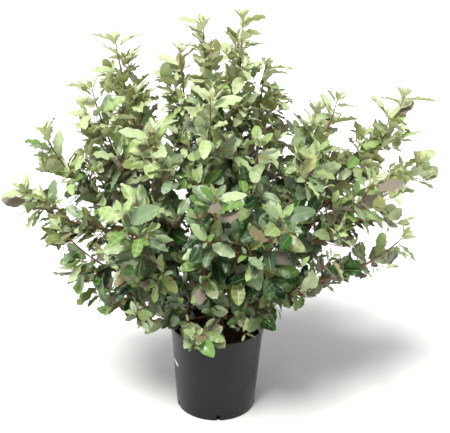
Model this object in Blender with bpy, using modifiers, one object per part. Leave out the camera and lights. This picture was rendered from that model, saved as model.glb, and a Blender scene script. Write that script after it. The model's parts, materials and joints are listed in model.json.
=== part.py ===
"""An elaeagnus shrub in a round nursery pot, in metres, +Z up.

The origin is the centre of the pot's flat underside, and -Y is the side that faces the viewer.
The pot is turned from a profile and filled with compost. A short trunk with a root flare rises
from the compost and forks into stems, the stems into boughs, and each of these carries one mass
of foliage at its end. A mass is one body: a leader, side twigs in a spiral round it and leaves.
"""

import math
import random

import bmesh
import bpy
import numpy as np
from mathutils import Matrix, Vector
from mathutils.bvhtree import BVHTree

# The pot
POT_HEIGHT = 0.270
POT_RIM_RADIUS = 0.140
POT_BASE_RADIUS = 0.119
POT_WALL = 0.0022
POT_FLOOR = 0.004
RIM_BAND_HEIGHT = 0.017
RIM_BAND_PROUD = 0.0018
RIM_DRAFT = 0.0004
LIP_ROUNDING = 0.0012
BASE_ROUNDING = 0.004
BASE_BEVEL = 0.3
POT_SIDES = 40
SLOT_COUNT = 5
SLOT_FIRST_DEGREES = -86
SLOT_WIDTH = 0.011
SLOT_HEIGHT = 0.020
SLOT_REACH = 0.013

# The compost and the trunk
COMPOST_BELOW_RIM = 0.024
COMPOST_LEVEL = POT_HEIGHT - COMPOST_BELOW_RIM
COMPOST_SHOULDER = 0.006
CLEARANCE = 0.0003
WALL_CLEARANCE = 0.0004
TRUNK_POINTS = 7
TRUNK_HEIGHT = 0.130
TRUNK_BEND = (0.35, 0.70)
TRUNK_BASE_RADIUS = 0.017
TRUNK_TOP_RADIUS = 0.0125
FLARE = 0.011
FLARE_HEIGHT = 0.009
TRUNK_LEAN = Vector((0.006, 0.004, 0.0))

# Stems and boughs: thickness follows from the length of shoot that a limb still has to carry
RADIUS_AT_TIP = 0.0014
RADIUS_PER_METRE = 0.0058
LIMB_SIDES_STEP = 1
LIMB_POINTS = 4
CURVE_POINTS = 24
DIRECTION_STEP = 0.01
LEADER_LENGTH = 0.42
LEADER_SHARE = 0.72
RISE_LOW = 0.15
RISE_HIGH = 1.0
RISE_SPAN = 0.85
SPREAD = 0.45
LIFT = 0.15
STEEPEST = 0.15
HANDLE_AT_FORK = 0.36
HANDLE_AT_TIP = 0.34
WIDEST_OF_PARENT = 0.78
SQUARE_END = 0.004
# The clearance at a limb's edges, wide enough for its flat sides to lie a full clearance away
SEAT_CLEARANCE = CLEARANCE * 1.2

# Foliage
MASS_RADIUS = 0.175
CELL_MARGIN = 0.003
SPACE_POINTS = 9
LEADER_POINTS = 5
LEADER_DRESSED = 0.94
TWIGS_END = 0.85
TWIG_SHARE_LONGEST = 0.44
TWIG_LONGEST = 0.140
TWIG_TAPER = 0.55
TWIG_RADII = (1.0, 0.85, 0.7)
TWIG_ANGLE = math.radians(50)
TWIG_LEAST = 0.035
TWIG_THINNEST = 0.0013
TWIG_OF_LEADER = 0.55
TWIG_TURN_UP = 0.35
TWIG_TRIES = 5
TWIG_SHORTER_EACH_TRY = 0.18
TWIG_BARE = 0.012
TIP_INSET = 0.005
TIP_LEAF_SIZE = 0.92
TIP_LEAF_ANGLE = math.radians(27)
LEAF_TRIES = 6
LEAF_STEEPER_EACH_TRY = 0.12
LEAF_SMALLER_EACH_TRY = 0.08
TURN = math.radians(137.5)
OTHER_SIDE = math.tau / 3
NODE_SPACING = 0.038
INNER_NODE_SPACING = 0.031
TWIG_EVERY = 3
LEAF_LENGTH = 0.108
LEAF_WIDTH = 0.060
LEAF_ANGLE = math.radians(58)
LEAF_PAST_TIP = 0.056
LEAF_ROOT_REACH = 0.010
LIGHT_FROM_ABOVE = 0.55
LIGHT_FROM_OUTSIDE = 0.8
LEAF_STRAY = 0.5
# A leaf's form, as shares of its length, and for its narrower outer part of its width
LEAF_THICKNESS = 0.016
LEAF_KEEL = 0.025
LEAF_ARCH = 0.10
LEAF_PEAK = 0.25
LEAF_SHOULDER = 0.28
LEAF_CHEEK = 0.72
LEAF_CHEEK_WIDTH = 0.82
POT_KEEP_OUT = 0.006
FIRST_SEED = 11
SAME_PLACE = 0.00001

# Colours, as linear values
POT_BLACK = (0.018, 0.018, 0.019)
COMPOST_BROWN = (0.030, 0.019, 0.012)
TRUNK_GREY = (0.17, 0.12, 0.085)
BARK_RUSSET = (0.20, 0.085, 0.040)
LEAF_GREENS = {
    "leaf_grey_green": (0.19, 0.27, 0.12),
    "leaf_cool_green": (0.15, 0.23, 0.12),
    "leaf_pale_green": (0.23, 0.31, 0.13),
    "leaf_deep_green": (0.13, 0.19, 0.11),
}

# The plan of the shrub. Each shoot leaves its parent at a share of the parent's length and ends
# at a tip: an azimuth in degrees from +X, a reach from the plant's axis and a height, in metres.
# A shoot with a limb has a bare stem or bough below its foliage; one without grows its foliage
# straight from its parent.
PLAN = (
    ("top", "trunk", 1.00, 40, 0.07, 1.17, True),
    ("top_left", "top", 0.62, 170, 0.055, 1.155, True),
    ("top_back_left", "top", 0.40, 158, 0.13, 1.08, True),
    ("top_right", "top", 0.80, 30, 0.14, 1.04, True),
    ("left_top", "trunk", 0.80, 170, 0.30, 1.10, True),
    ("left_outer", "left_top", 0.70, -171, 0.355, 1.00, True),
    ("far_left", "left_top", 0.36, 180, 0.50, 0.86, True),
    ("far_left_low", "far_left", 0.60, -172, 0.56, 0.72, True),
    ("front_left", "trunk", 0.68, -125, 0.43, 0.76, True),
    ("front_left_high", "front_left", 0.80, -130, 0.27, 0.93, True),
    ("front", "trunk", 0.86, -92, 0.36, 0.81, True),
    ("front_top", "front", 0.84, -100, 0.17, 1.00, True),
    ("front_right", "front", 0.48, -68, 0.41, 0.77, True),
    ("right_top", "trunk", 0.76, 8, 0.33, 0.96, True),
    ("right_front", "right_top", 0.84, -36, 0.31, 0.88, True),
    ("far_right", "right_top", 0.60, 5, 0.515, 0.97, True),
    ("far_right_out", "far_right", 0.70, 0, 0.57, 0.80, True),
    ("far_right_front", "right_top", 0.36, -24, 0.45, 0.80, True),
    ("back_left", "trunk", 0.68, 128, 0.50, 0.85, True),
    ("back_right", "trunk", 0.72, 52, 0.50, 0.85, True),
    ("back", "back_right", 0.80, 95, 0.29, 1.01, True),
    ("front_right_high", "trunk", 0.72, -62, 0.21, 0.90, False),
    ("far_left_front", "trunk", 0.60, -155, 0.48, 0.66, False),
    ("far_right_droop", "trunk", 0.60, -12, 0.54, 0.62, False),
    ("front_mid", "trunk", 0.52, -100, 0.26, 0.60, False),
    ("left_mid", "trunk", 0.50, -180, 0.30, 0.62, False),
    ("right_mid", "trunk", 0.46, 12, 0.30, 0.60, False),
    ("back_mid", "trunk", 0.52, 108, 0.28, 0.62, False),
    ("far_left_droop", "trunk", 0.42, -162, 0.45, 0.52, False),
    ("front_right_low", "trunk", 0.42, -30, 0.37, 0.58, False),
    ("back_left_low", "trunk", 0.40, 152, 0.45, 0.50, False),
    ("back_right_low", "trunk", 0.40, 38, 0.45, 0.50, False),
    ("back_low", "trunk", 0.34, 88, 0.43, 0.42, False),
    ("front_low", "trunk", 0.32, -104, 0.27, 0.36, False),
    ("front_left_low", "trunk", 0.30, -138, 0.33, 0.41, False),
    ("front_right_foot", "trunk", 0.30, -52, 0.25, 0.43, False),
)


def clear_scene():
    for obj in list(bpy.data.objects):
        bpy.data.objects.remove(obj)


def collection_named(name):
    made = bpy.data.collections.new(name)
    bpy.context.scene.collection.children.link(made)
    return made


def plain_material(name, colour, roughness):
    material = bpy.data.materials.new(name)
    material.use_nodes = True
    shader = material.node_tree.nodes["Principled BSDF"]
    shader.inputs["Base Color"].default_value = (*colour, 1.0)
    shader.inputs["Roughness"].default_value = roughness
    shader.inputs["Metallic"].default_value = 0.0
    return material


def object_of(name, mesh, collection, material=None):
    obj = bpy.data.objects.new(name, mesh)
    collection.objects.link(obj)
    if material:
        mesh.materials.clear()
        mesh.materials.append(material)
    return obj


def applied(obj):
    """Replaces obj's mesh by what its modifiers make of it, and removes the modifiers."""
    bpy.context.view_layer.update()
    graph = bpy.context.evaluated_depsgraph_get()
    mesh = bpy.data.meshes.new_from_object(obj.evaluated_get(graph))
    obj.modifiers.clear()
    obj.data = mesh


def as_cutter(obj):
    obj.hide_render = True
    obj.display_type = "WIRE"
    return obj


def remove_with_mesh(obj):
    data = obj.data
    bpy.data.objects.remove(obj)
    if data.users == 0:
        (bpy.data.meshes if isinstance(data, bpy.types.Mesh) else bpy.data.curves).remove(data)


# The pot and its compost are turned shapes: a profile and a Screw modifier each.
def turned(name, profile, collection, material):
    mesh = bpy.data.meshes.new(name)
    edges = [(i, i + 1) for i in range(len(profile) - 1)]
    mesh.from_pydata([(radius, 0.0, height) for radius, height in profile], edges, [])
    obj = object_of(name, mesh, collection, material)
    screw = obj.modifiers.new("turn", "SCREW")
    screw.steps = screw.render_steps = POT_SIDES
    screw.use_merge_vertices = True
    screw.merge_threshold = 0.0001
    return obj


def outside_radius(height):
    """The pot's outer radius at a height, without the rim's band."""
    widening = POT_RIM_RADIUS - RIM_BAND_PROUD - POT_BASE_RADIUS
    return POT_BASE_RADIUS + widening * height / POT_HEIGHT


def pot_profile():
    band_foot = POT_HEIGHT - RIM_BAND_HEIGHT
    lip = LIP_ROUNDING
    bevel = BASE_ROUNDING * BASE_BEVEL
    return [
        (0.0, POT_FLOOR),
        (outside_radius(POT_FLOOR) - POT_WALL, POT_FLOOR),
        (outside_radius(POT_HEIGHT) - POT_WALL, POT_HEIGHT - lip),
        (outside_radius(POT_HEIGHT) - POT_WALL + lip, POT_HEIGHT),
        (POT_RIM_RADIUS - lip, POT_HEIGHT),
        (POT_RIM_RADIUS, POT_HEIGHT - lip),
        (POT_RIM_RADIUS - RIM_DRAFT, band_foot),
        (outside_radius(band_foot), band_foot - RIM_BAND_PROUD),
        (outside_radius(BASE_ROUNDING), BASE_ROUNDING),
        (POT_BASE_RADIUS - bevel, bevel),
        (POT_BASE_RADIUS - BASE_ROUNDING, 0.0),
        (0.0, 0.0),
    ]


def drainage_cutter(index, collection):
    """A block through the foot of the wall and over the slot's share of the floor."""
    angle = math.radians(SLOT_FIRST_DEGREES + index * 360 / SLOT_COUNT)
    bm = bmesh.new()
    bmesh.ops.create_cube(bm, size=1.0)
    bmesh.ops.scale(bm, vec=(SLOT_REACH * 2, SLOT_WIDTH, SLOT_HEIGHT * 2), verts=bm.verts)
    bmesh.ops.translate(bm, vec=(POT_BASE_RADIUS, 0, 0), verts=bm.verts)
    bmesh.ops.rotate(bm, matrix=Matrix.Rotation(angle, 3, "Z"), verts=bm.verts)
    mesh = bpy.data.meshes.new(f"slot_{index}")
    bm.to_mesh(mesh)
    bm.free()
    return as_cutter(object_of(f"slot_{index}", mesh, collection))


def build_pot(parts, cutters, material):
    pot = turned("pot", pot_profile(), parts, material)
    for index in range(SLOT_COUNT):
        cut = pot.modifiers.new(f"slot_{index}", "BOOLEAN")
        cut.operation = "DIFFERENCE"
        cut.object = drainage_cutter(index, cutters)


def build_compost(parts, material):
    """The compost fills the pot, a clearance away from its floor and wall and clear of the slots."""
    above_slots = SLOT_HEIGHT + CLEARANCE
    shoulder = COMPOST_LEVEL - COMPOST_SHOULDER

    def fill_radius(height):
        return outside_radius(height) - POT_WALL - WALL_CLEARANCE

    profile = [
        (0.0, COMPOST_LEVEL),
        (fill_radius(COMPOST_LEVEL) - COMPOST_SHOULDER * 2, COMPOST_LEVEL),
        (fill_radius(shoulder), shoulder),
        (fill_radius(above_slots), above_slots),
        (fill_radius(above_slots) - SLOT_REACH, above_slots),
        (fill_radius(above_slots) - SLOT_REACH, POT_FLOOR + CLEARANCE),
        (0.0, POT_FLOOR + CLEARANCE),
    ]
    turned("compost", profile, parts, material)


# Limbs and leaders follow cubic curves from their parent's line to their tips.
def cubic(points, share):
    a, b, c, d = points
    rest = 1 - share
    return a * rest**3 + b * 3 * rest**2 * share + c * 3 * rest * share**2 + d * share**3


def along(points, first, last, count):
    return [cubic(points, first + (last - first) * i / (count - 1)) for i in range(count)]


def length_of(line):
    return sum((b - a).length for a, b in zip(line, line[1:]))


def place_on(line, share):
    """The point at a share of a line's length, and the line's direction there."""
    left = share * length_of(line)
    for a, b in zip(line, line[1:]):
        step = (b - a).length
        if left <= step or b is line[-1]:
            return a.lerp(b, left / step), (b - a).normalized()
        left -= step


def trunk_line():
    foot = Vector((0, 0, COMPOST_LEVEL + CLEARANCE))
    rise = Vector((0, 0, TRUNK_HEIGHT))
    low, high = TRUNK_BEND
    return [foot, foot + rise * low, foot + rise * high + TRUNK_LEAN / 2, foot + rise + TRUNK_LEAN]


def trunk_radius(share):
    flare = FLARE * math.exp(-share * TRUNK_HEIGHT / FLARE_HEIGHT)
    return TRUNK_BASE_RADIUS + (TRUNK_TOP_RADIUS - TRUNK_BASE_RADIUS) * share + flare


def tip_of(azimuth, reach, height):
    turn = math.radians(azimuth)
    return Vector((reach * math.cos(turn), reach * math.sin(turn), height))


def shoot_curve(start, tip):
    """Leaves its parent outwards, then turns up to its tip: high shoots more than low ones."""
    way = (tip - start).normalized()
    size = (tip - start).length
    flat = Vector((way.x, way.y, 0.0))
    if flat.length > STEEPEST:
        flat.normalize()
    outward = (way + flat * SPREAD + Vector((0, 0, LIFT))).normalized()
    height_share = min(max((tip.z - POT_HEIGHT) / RISE_SPAN, 0.0), 1.0)
    rise = RISE_LOW + (RISE_HIGH - RISE_LOW) * height_share
    turned_up = (way + Vector((0, 0, rise))).normalized()
    end = tip - turned_up * LEAF_PAST_TIP
    first_handle = start + outward * size * HANDLE_AT_FORK
    return [start, first_handle, end - turned_up * size * HANDLE_AT_TIP, end]


class Shoot:
    """One entry of the plan: its curve, the share of it that is bare limb, and its radii."""

    def __init__(self, entry, shoots):
        self.name, self.parent, self.fork, azimuth, reach, height, self.has_limb = entry
        if self.parent == "trunk":
            start, parent_radius = cubic(trunk_line(), self.fork), trunk_radius(self.fork)
        else:
            parent = shoots[self.parent]
            at = self.fork * parent.limb_share
            start, parent_radius = cubic(parent.curve, at), parent.radius(at)
        self.widest = parent_radius * WIDEST_OF_PARENT
        self.curve = shoot_curve(start, tip_of(azimuth, reach, height))
        self.length = length_of(along(self.curve, 0, 1, CURVE_POINTS))
        leader = min(LEADER_LENGTH, self.length * LEADER_SHARE)
        self.limb_share = 1 - leader / self.length if self.has_limb else 0.0

    def radius(self, share):
        left = self.length * (1 - share)
        return min(RADIUS_AT_TIP + RADIUS_PER_METRE * left, self.widest)

    def direction(self, share):
        before = cubic(self.curve, share - DIRECTION_STEP)
        return (cubic(self.curve, share + DIRECTION_STEP) - before).normalized()


def plan_shoots():
    shoots = {}
    for entry in PLAN:
        shoots[entry[0]] = Shoot(entry, shoots)
    return shoots


def tube(name, line, radii, collection, outline=None):
    """A tapering closed tube along a line: six-sided, or with the sides of an outline curve."""
    curve = bpy.data.curves.new(name, "CURVE")
    curve.dimensions = "3D"
    curve.use_fill_caps = True
    if outline:
        curve.bevel_mode = "OBJECT"
        curve.bevel_object = outline
    else:
        curve.bevel_depth = 1.0
        curve.bevel_resolution = LIMB_SIDES_STEP
    spline = curve.splines.new("POLY")
    spline.points.add(len(line) - 1)
    for point, place, radius in zip(spline.points, line, radii):
        point.co = (*place, 1.0)
        point.radius = radius
    guide = bpy.data.objects.new(name, curve)
    collection.objects.link(guide)
    bpy.context.view_layer.update()
    graph = bpy.context.evaluated_depsgraph_get()
    mesh = bpy.data.meshes.new_from_object(guide.evaluated_get(graph))
    bm = bmesh.new()
    bm.from_mesh(mesh)
    bmesh.ops.remove_doubles(bm, verts=bm.verts, dist=SAME_PLACE)
    bmesh.ops.recalc_face_normals(bm, faces=bm.faces)
    bm.to_mesh(mesh)
    bm.free()
    placed = guide.matrix_world.copy()
    remove_with_mesh(guide)
    mesh.name = name
    obj = object_of(name, mesh, collection)
    obj.matrix_world = placed
    return obj


def three_sided_outline(collection):
    """The twigs' cross-section: a triangle of radius 1, which a twig's own radius scales."""
    curve = bpy.data.curves.new("twig_outline", "CURVE")
    curve.dimensions = "2D"
    spline = curve.splines.new("POLY")
    spline.points.add(2)
    spline.use_cyclic_u = True
    for index, point in enumerate(spline.points):
        angle = -index * math.tau / 3
        point.co = (math.cos(angle), math.sin(angle), 0.0, 1.0)
    outline = bpy.data.objects.new("twig_outline", curve)
    collection.objects.link(outline)
    outline.hide_render = True
    return outline


def cut_clear(obj, cutter):
    cut = obj.modifiers.new("seat", "BOOLEAN")
    cut.operation = "DIFFERENCE"
    cut.object = cutter
    applied(obj)


def build_trunk(parts, cutters, material):
    """Makes the trunk, and returns the slightly wider one that the stems are cut off against."""
    line = along(trunk_line(), 0, 1, TRUNK_POINTS)
    radii = [trunk_radius(i / (TRUNK_POINTS - 1)) for i in range(TRUNK_POINTS)]
    trunk = tube("trunk", line, radii, parts)
    trunk.data.materials.append(material)
    return as_cutter(tube("trunk_seat", line, [r + SEAT_CLEARANCE for r in radii], cutters))


def limb_line(shoot):
    """The limb's points and radii. Its last stretch is straight, so that its end cut is square."""
    last = shoot.limb_share
    shares = [last * i / (LIMB_POINTS - 1) for i in range(LIMB_POINTS)]
    line = [cubic(shoot.curve, s) for s in shares]
    radii = [shoot.radius(s) for s in shares]
    line.insert(-1, line[-1] - shoot.direction(last) * SQUARE_END)
    radii.insert(-1, shoot.radius(last))
    return line, radii


def leader_line(shoot):
    """The leader's points and radii, from a clearance past the limb's end cut to the shoot's tip."""
    first = shoot.limb_share
    shares = [first + (1 - first) * i / (LEADER_POINTS - 1) for i in range(LEADER_POINTS)]
    line = [cubic(shoot.curve, s) for s in shares]
    radii = [shoot.radius(s) for s in shares]
    if shoot.has_limb:
        way = shoot.direction(first)
        line[0] += way * CLEARANCE
        line.insert(1, line[0] + way * SQUARE_END)
        radii.insert(1, radii[0])
    return line, radii


def build_limbs(shoots, trunk_seat, parts, cutters, material):
    """Makes the limbs, each cut where it leaves its parent, so that it sits on it a clearance
    away, and returns every limb's slightly wider seat."""
    seats = {"trunk": trunk_seat}
    for shoot in shoots.values():
        if not shoot.has_limb:
            continue
        line, radii = limb_line(shoot)
        kind = "stem" if shoot.parent == "trunk" else "bough"
        limb = tube(f"{kind}_{shoot.name}", line, radii, parts)
        limb.data.materials.append(material)
        cut_clear(limb, seats[shoot.parent])
        wider = [r + SEAT_CLEARANCE for r in radii]
        seats[shoot.name] = as_cutter(tube(f"{shoot.name}_seat", line, wider, cutters))
    return seats


class Spaces:
    """Which mass a place belongs to: the one whose leader runs nearest, within a mass's radius."""

    def __init__(self, shoots):
        self.names = list(shoots)
        lines = [along(s.curve, s.limb_share, 1, SPACE_POINTS) for s in shoots.values()]
        self.starts = np.array([[list(p) for p in line[:-1]] for line in lines])
        self.ways = np.array([[list(p) for p in line[1:]] for line in lines]) - self.starts

    def distances(self, places):
        """The distance of each place from each leader, as places by leaders."""
        offset = places[:, None, None, :] - self.starts[None]
        share = (offset * self.ways[None]).sum(-1) / (self.ways**2).sum(-1)[None]
        nearest = self.ways[None] * np.clip(share, 0, 1)[..., None]
        return np.linalg.norm(offset - nearest, axis=-1).min(-1)

    def holds(self, name, places):
        apart = self.distances(np.array([list(p) for p in places]))
        own = self.names.index(name)
        others = np.delete(apart, own, axis=1).min(axis=1)
        inside = apart[:, own] < MASS_RADIUS
        return bool((inside & (apart[:, own] + CELL_MARGIN < others)).all())


def tree_of(mesh):
    mesh.calc_loop_triangles()
    faces = [tuple(t.vertices) for t in mesh.loop_triangles]
    return BVHTree.FromPolygons([v.co.copy() for v in mesh.vertices], faces)


def joined_tree(meshes):
    places, faces = [], []
    for mesh in meshes:
        mesh.calc_loop_triangles()
        first = len(places)
        places += [v.co.copy() for v in mesh.vertices]
        faces += [tuple(first + v for v in t.vertices) for t in mesh.loop_triangles]
    return BVHTree.FromPolygons(places, faces)


def keep_out_mesh():
    """A drum a little larger than the pot, which foliage stays outside of."""
    bm = bmesh.new()
    height = POT_HEIGHT + POT_KEEP_OUT
    bmesh.ops.create_cone(
        bm, segments=POT_SIDES, cap_ends=True, depth=height,
        radius1=POT_BASE_RADIUS + POT_KEEP_OUT, radius2=POT_RIM_RADIUS + POT_KEEP_OUT,
    )
    bmesh.ops.translate(bm, vec=(0, 0, height / 2), verts=bm.verts)
    mesh = bpy.data.meshes.new("keep_out")
    bm.to_mesh(mesh)
    bm.free()
    return mesh


def over_pot(place):
    low = place.z < POT_HEIGHT + POT_KEEP_OUT
    return low and math.hypot(place.x, place.y) < POT_RIM_RADIUS + POT_KEEP_OUT


def leaf_mesh(name):
    """A leaf of length 1 and width 1 along +X: a flattened six-sided cone, drawn out at its
    root and tip. Its blunt peak lies on the midrib; its margins hang lower, and it arches."""
    bm = bmesh.new()
    bmesh.ops.create_cone(bm, cap_ends=True, segments=6, radius1=1.0, radius2=0.0, depth=1.0)
    bmesh.ops.remove_doubles(bm, verts=bm.verts, dist=SAME_PLACE)
    pairs = ([], [])
    for vert in bm.verts:
        side, forward, level = vert.co
        if level > 0:
            vert.co = (LEAF_PEAK, 0.0, LEAF_THICKNESS - LEAF_ARCH * LEAF_PEAK**2)
        elif abs(side) < 0.1:
            share = (forward + 1) / 2
            vert.co = (share, 0.0, -LEAF_ARCH * share**2)
        else:
            outer = forward > 0
            pairs[outer].append(vert)
            share = LEAF_CHEEK if outer else LEAF_SHOULDER
            half = (LEAF_CHEEK_WIDTH if outer else 1.0) / 2
            vert.co = (share, math.copysign(half, side), -LEAF_ARCH * share**2 - LEAF_KEEL)
    for pair in pairs:
        bmesh.ops.connect_verts(bm, verts=pair)
    bmesh.ops.triangulate(bm, faces=bm.faces)
    bmesh.ops.recalc_face_normals(bm, faces=bm.faces)
    mesh = bpy.data.meshes.new(name)
    bm.to_mesh(mesh)
    bm.free()
    return mesh


def leaf_frame(root, direction, rng, size):
    """Places a leaf: its length along a direction, its upper face towards the light."""
    outward = Vector((root.x, root.y, 0.0))
    outward.normalize()
    stray = Vector([rng.uniform(-1, 1) for _ in range(3)]) * LEAF_STRAY
    light = Vector((0, 0, LIGHT_FROM_ABOVE)) + outward * LIGHT_FROM_OUTSIDE + stray
    across = light.cross(direction).normalized()
    up = direction.cross(across).normalized()
    turn = Matrix((direction, across, up)).transposed().to_4x4()
    length = LEAF_LENGTH * size
    scale = Matrix.Diagonal((length, LEAF_WIDTH * size, length, 1.0))
    return Matrix.Translation(root) @ turn @ scale


def ring_directions(axis):
    """Two directions square to an axis and to each other, the first as level as can be."""
    level = axis.cross(Vector((0, 0, 1))).normalized()
    return level, axis.cross(level).normalized()


def out_of_side(tree, root, axis, angle, tilt):
    """The way that a growth leaves a three-sided twig: square to the side that the angle looks
    through, so that its root breaks out of one flat side, and at a tilt to the twig's axis."""
    level, up = ring_directions(axis)
    radial = level * math.cos(angle) + up * math.sin(angle)
    side = tree.ray_cast(root, radial)[1] or radial
    side = (side - axis * side.dot(axis)).normalized()
    return (axis * math.cos(tilt) + side * math.sin(tilt)).normalized()


class Mass:
    """Grows one mass in the working collection, and tests each new piece against the others."""

    def __init__(self, shoot, spaces, obstacles, work, outline, seed):
        self.shoot, self.spaces, self.obstacles = shoot, spaces, obstacles
        self.work, self.outline = work, outline
        self.rng = random.Random(seed)
        self.trees, self.leaves = [], 0
        self.spacing = NODE_SPACING if shoot.has_limb else INNER_NODE_SPACING

    def touches(self, tree, carrier):
        if any(tree.overlap(other) for other in self.obstacles):
            return True
        return any(tree.overlap(own) for own in self.trees if own is not carrier)

    def add_twig(self, start, direction, length, radius, carrier):
        """A twig of three points that turns a little upwards: its line and search tree, or None
        where it has no room."""
        middle = start + direction * length * 0.5
        end = middle + (direction + Vector((0, 0, TWIG_TURN_UP))).normalized() * length * 0.5
        samples = [start.lerp(middle, 0.5), middle, middle.lerp(end, 0.5), end]
        if any(over_pot(p) for p in samples) or not self.spaces.holds(self.shoot.name, samples):
            return None
        line = [start, middle, end]
        radii = [max(radius * share, TWIG_THINNEST) for share in TWIG_RADII]
        twig = tube("twig", line, radii, self.work, self.outline)
        tree = tree_of(twig.data)
        if self.touches(tree, carrier):
            remove_with_mesh(twig)
            return None
        self.trees.append(tree)
        return line, tree

    def add_leaf(self, root, direction, carrier, size):
        mesh = leaf_mesh("leaf")
        mesh.transform(leaf_frame(root, direction, self.rng, size))
        places = [v.co for v in mesh.vertices if (v.co - root).length > LEAF_ROOT_REACH]
        places += [a.lerp(b, 0.5) for a, b in zip(places, places[1:])]
        fits = not any(over_pot(p) for p in places) and self.spaces.holds(self.shoot.name, places)
        if fits:
            tree = tree_of(mesh)
            fits = not self.touches(tree, carrier)
        if not fits:
            bpy.data.meshes.remove(mesh)
            return False
        object_of("leaf", mesh, self.work)
        self.trees.append(tree)
        self.leaves += 1
        return True

    def try_leaf(self, root, axis, angle, carrier, size, tilt=LEAF_ANGLE):
        """Tries a leaf, then smaller and steeper ones from the twig's other sides, before the
        place is left bare."""
        for attempt in range(LEAF_TRIES):
            steeper = tilt * (1 - LEAF_STEEPER_EACH_TRY * attempt)
            smaller = size * (1 - LEAF_SMALLER_EACH_TRY * attempt)
            side = angle + attempt * OTHER_SIDE
            direction = out_of_side(carrier, root, axis, side, steeper)
            if self.add_leaf(root, direction, carrier, smaller):
                return

    def dress_twig(self, line, tree, length):
        """Leaves in a spiral along a twig, and the last one beside its tip."""
        angle = self.rng.uniform(0, math.tau)
        count = max(1, round((length - TWIG_BARE) / self.spacing))
        for index in range(count):
            share = (TWIG_BARE + (index + 0.5) / count * (length - TWIG_BARE - TIP_INSET)) / length
            root, axis = place_on(line, share)
            self.try_leaf(root, axis, angle, tree, self.rng.uniform(0.88, 1.08))
            angle += TURN
        self.tip_leaf(line, angle, tree, TIP_INSET)

    def tip_leaf(self, line, angle, tree, inset):
        axis = (line[-1] - line[-2]).normalized()
        self.try_leaf(line[-1] - axis * inset, axis, angle, tree, TIP_LEAF_SIZE, TIP_LEAF_ANGLE)

    def grow(self, seat):
        shoot = self.shoot
        first = shoot.limb_share
        line, radii = leader_line(shoot)
        leader = tube("leader", line, radii, self.work, self.outline)
        if not shoot.has_limb:
            cut_clear(leader, seat)
        tree = tree_of(leader.data)
        self.trees.append(tree)
        length = length_of(line)
        count = int(length * LEADER_DRESSED / self.spacing)
        angle = self.rng.uniform(0, math.tau)
        longest = min(TWIG_SHARE_LONGEST * length, TWIG_LONGEST)
        for index in range(count):
            share = (index + 1.0) / (count + 0.4)
            root, axis = place_on(line, share)
            if index % TWIG_EVERY == 0 and share < TWIGS_END:
                radius = shoot.radius(first + (1 - first) * share)
                self.side_twig(root, axis, angle, longest * (1 - TWIG_TAPER * share), radius)
            else:
                size = self.rng.uniform(0.9, 1.1) * (1.1 - 0.2 * share)
                self.try_leaf(root, axis, angle, tree, size)
            angle += TURN
        for turn in range(2):
            self.tip_leaf(line, angle + turn * OTHER_SIDE, tree, TIP_INSET * (1 + turn))
        return leader

    def side_twig(self, root, axis, angle, length, radius):
        """Tries a side twig at its full length, then shorter ones, and dresses what fits."""
        length *= self.rng.uniform(0.85, 1.15)
        for attempt in range(TWIG_TRIES):
            side = angle + attempt * OTHER_SIDE
            direction = out_of_side(self.trees[0], root, axis, side, TWIG_ANGLE)
            size = length * (1 - TWIG_SHORTER_EACH_TRY * attempt)
            if size < TWIG_LEAST:
                return
            made = self.add_twig(root, direction, size, radius * TWIG_OF_LEADER, self.trees[0])
            if made:
                self.dress_twig(*made, size)
                return


def fuse(name, leader, work, material, parts):
    """Joins the leader with every twig and leaf left in the working collection."""
    work.objects.unlink(leader)
    parts.objects.link(leader)
    join = leader.modifiers.new("fuse", "BOOLEAN")
    join.operation = "UNION"
    join.operand_type = "COLLECTION"
    join.collection = work
    join.solver = "MANIFOLD"
    applied(leader)
    for obj in list(work.objects):
        remove_with_mesh(obj)
    leader.name = name
    leader.data.name = name
    leader.data.materials.clear()
    leader.data.materials.append(material)


def build_foliage(shoots, seats, parts, helpers, materials):
    spaces = Spaces(shoots)
    outline = three_sided_outline(helpers)
    work = collection_named("growing")
    solid = [seat.data for seat in seats.values()]
    obstacles = [joined_tree(solid), tree_of(keep_out_mesh())]
    total = 0
    for index, shoot in enumerate(shoots.values()):
        mass = Mass(shoot, spaces, obstacles, work, outline, seed=FIRST_SEED + index)
        leader = mass.grow(seats["trunk"])
        fuse(f"foliage_{shoot.name}", leader, work, materials[index % len(materials)], parts)
        total += mass.leaves
        print(f"{shoot.name}: {mass.leaves} leaves, {len(leader.data.polygons)} faces")
    bpy.data.collections.remove(work)
    print(f"{total} leaves on {len(shoots)} masses")


def main():
    clear_scene()
    parts = collection_named("elaeagnus_shrub")
    cutters = collection_named("cutters")
    pot_black = plain_material("pot_black", POT_BLACK, 0.55)
    compost_brown = plain_material("compost_brown", COMPOST_BROWN, 0.95)
    trunk_grey = plain_material("trunk_grey", TRUNK_GREY, 0.85)
    bark_russet = plain_material("bark_russet", BARK_RUSSET, 0.75)
    greens = [plain_material(name, colour, 0.6) for name, colour in LEAF_GREENS.items()]
    build_pot(parts, cutters, pot_black)
    build_compost(parts, compost_brown)
    trunk_seat = build_trunk(parts, cutters, trunk_grey)
    shoots = plan_shoots()
    seats = build_limbs(shoots, trunk_seat, parts, cutters, bark_russet)
    build_foliage(shoots, seats, parts, cutters, greens)


main()
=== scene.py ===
# %% [markdown]
# # An elaeagnus shrub in its nursery pot
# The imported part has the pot, the compost, the limbs and coarse masses of foliage, all in their
# places. This lesson keeps those places and gives every piece its real surface: turned plastic,
# crumbly compost, bark, thin russet twigs and some thousands of leathery leaves of life size.
# The part comes first, because every piece that follows is laid out around it.

import json
import math
import random

import bmesh
import bpy
import numpy as np
from mathutils import Matrix, Vector, noise

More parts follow.
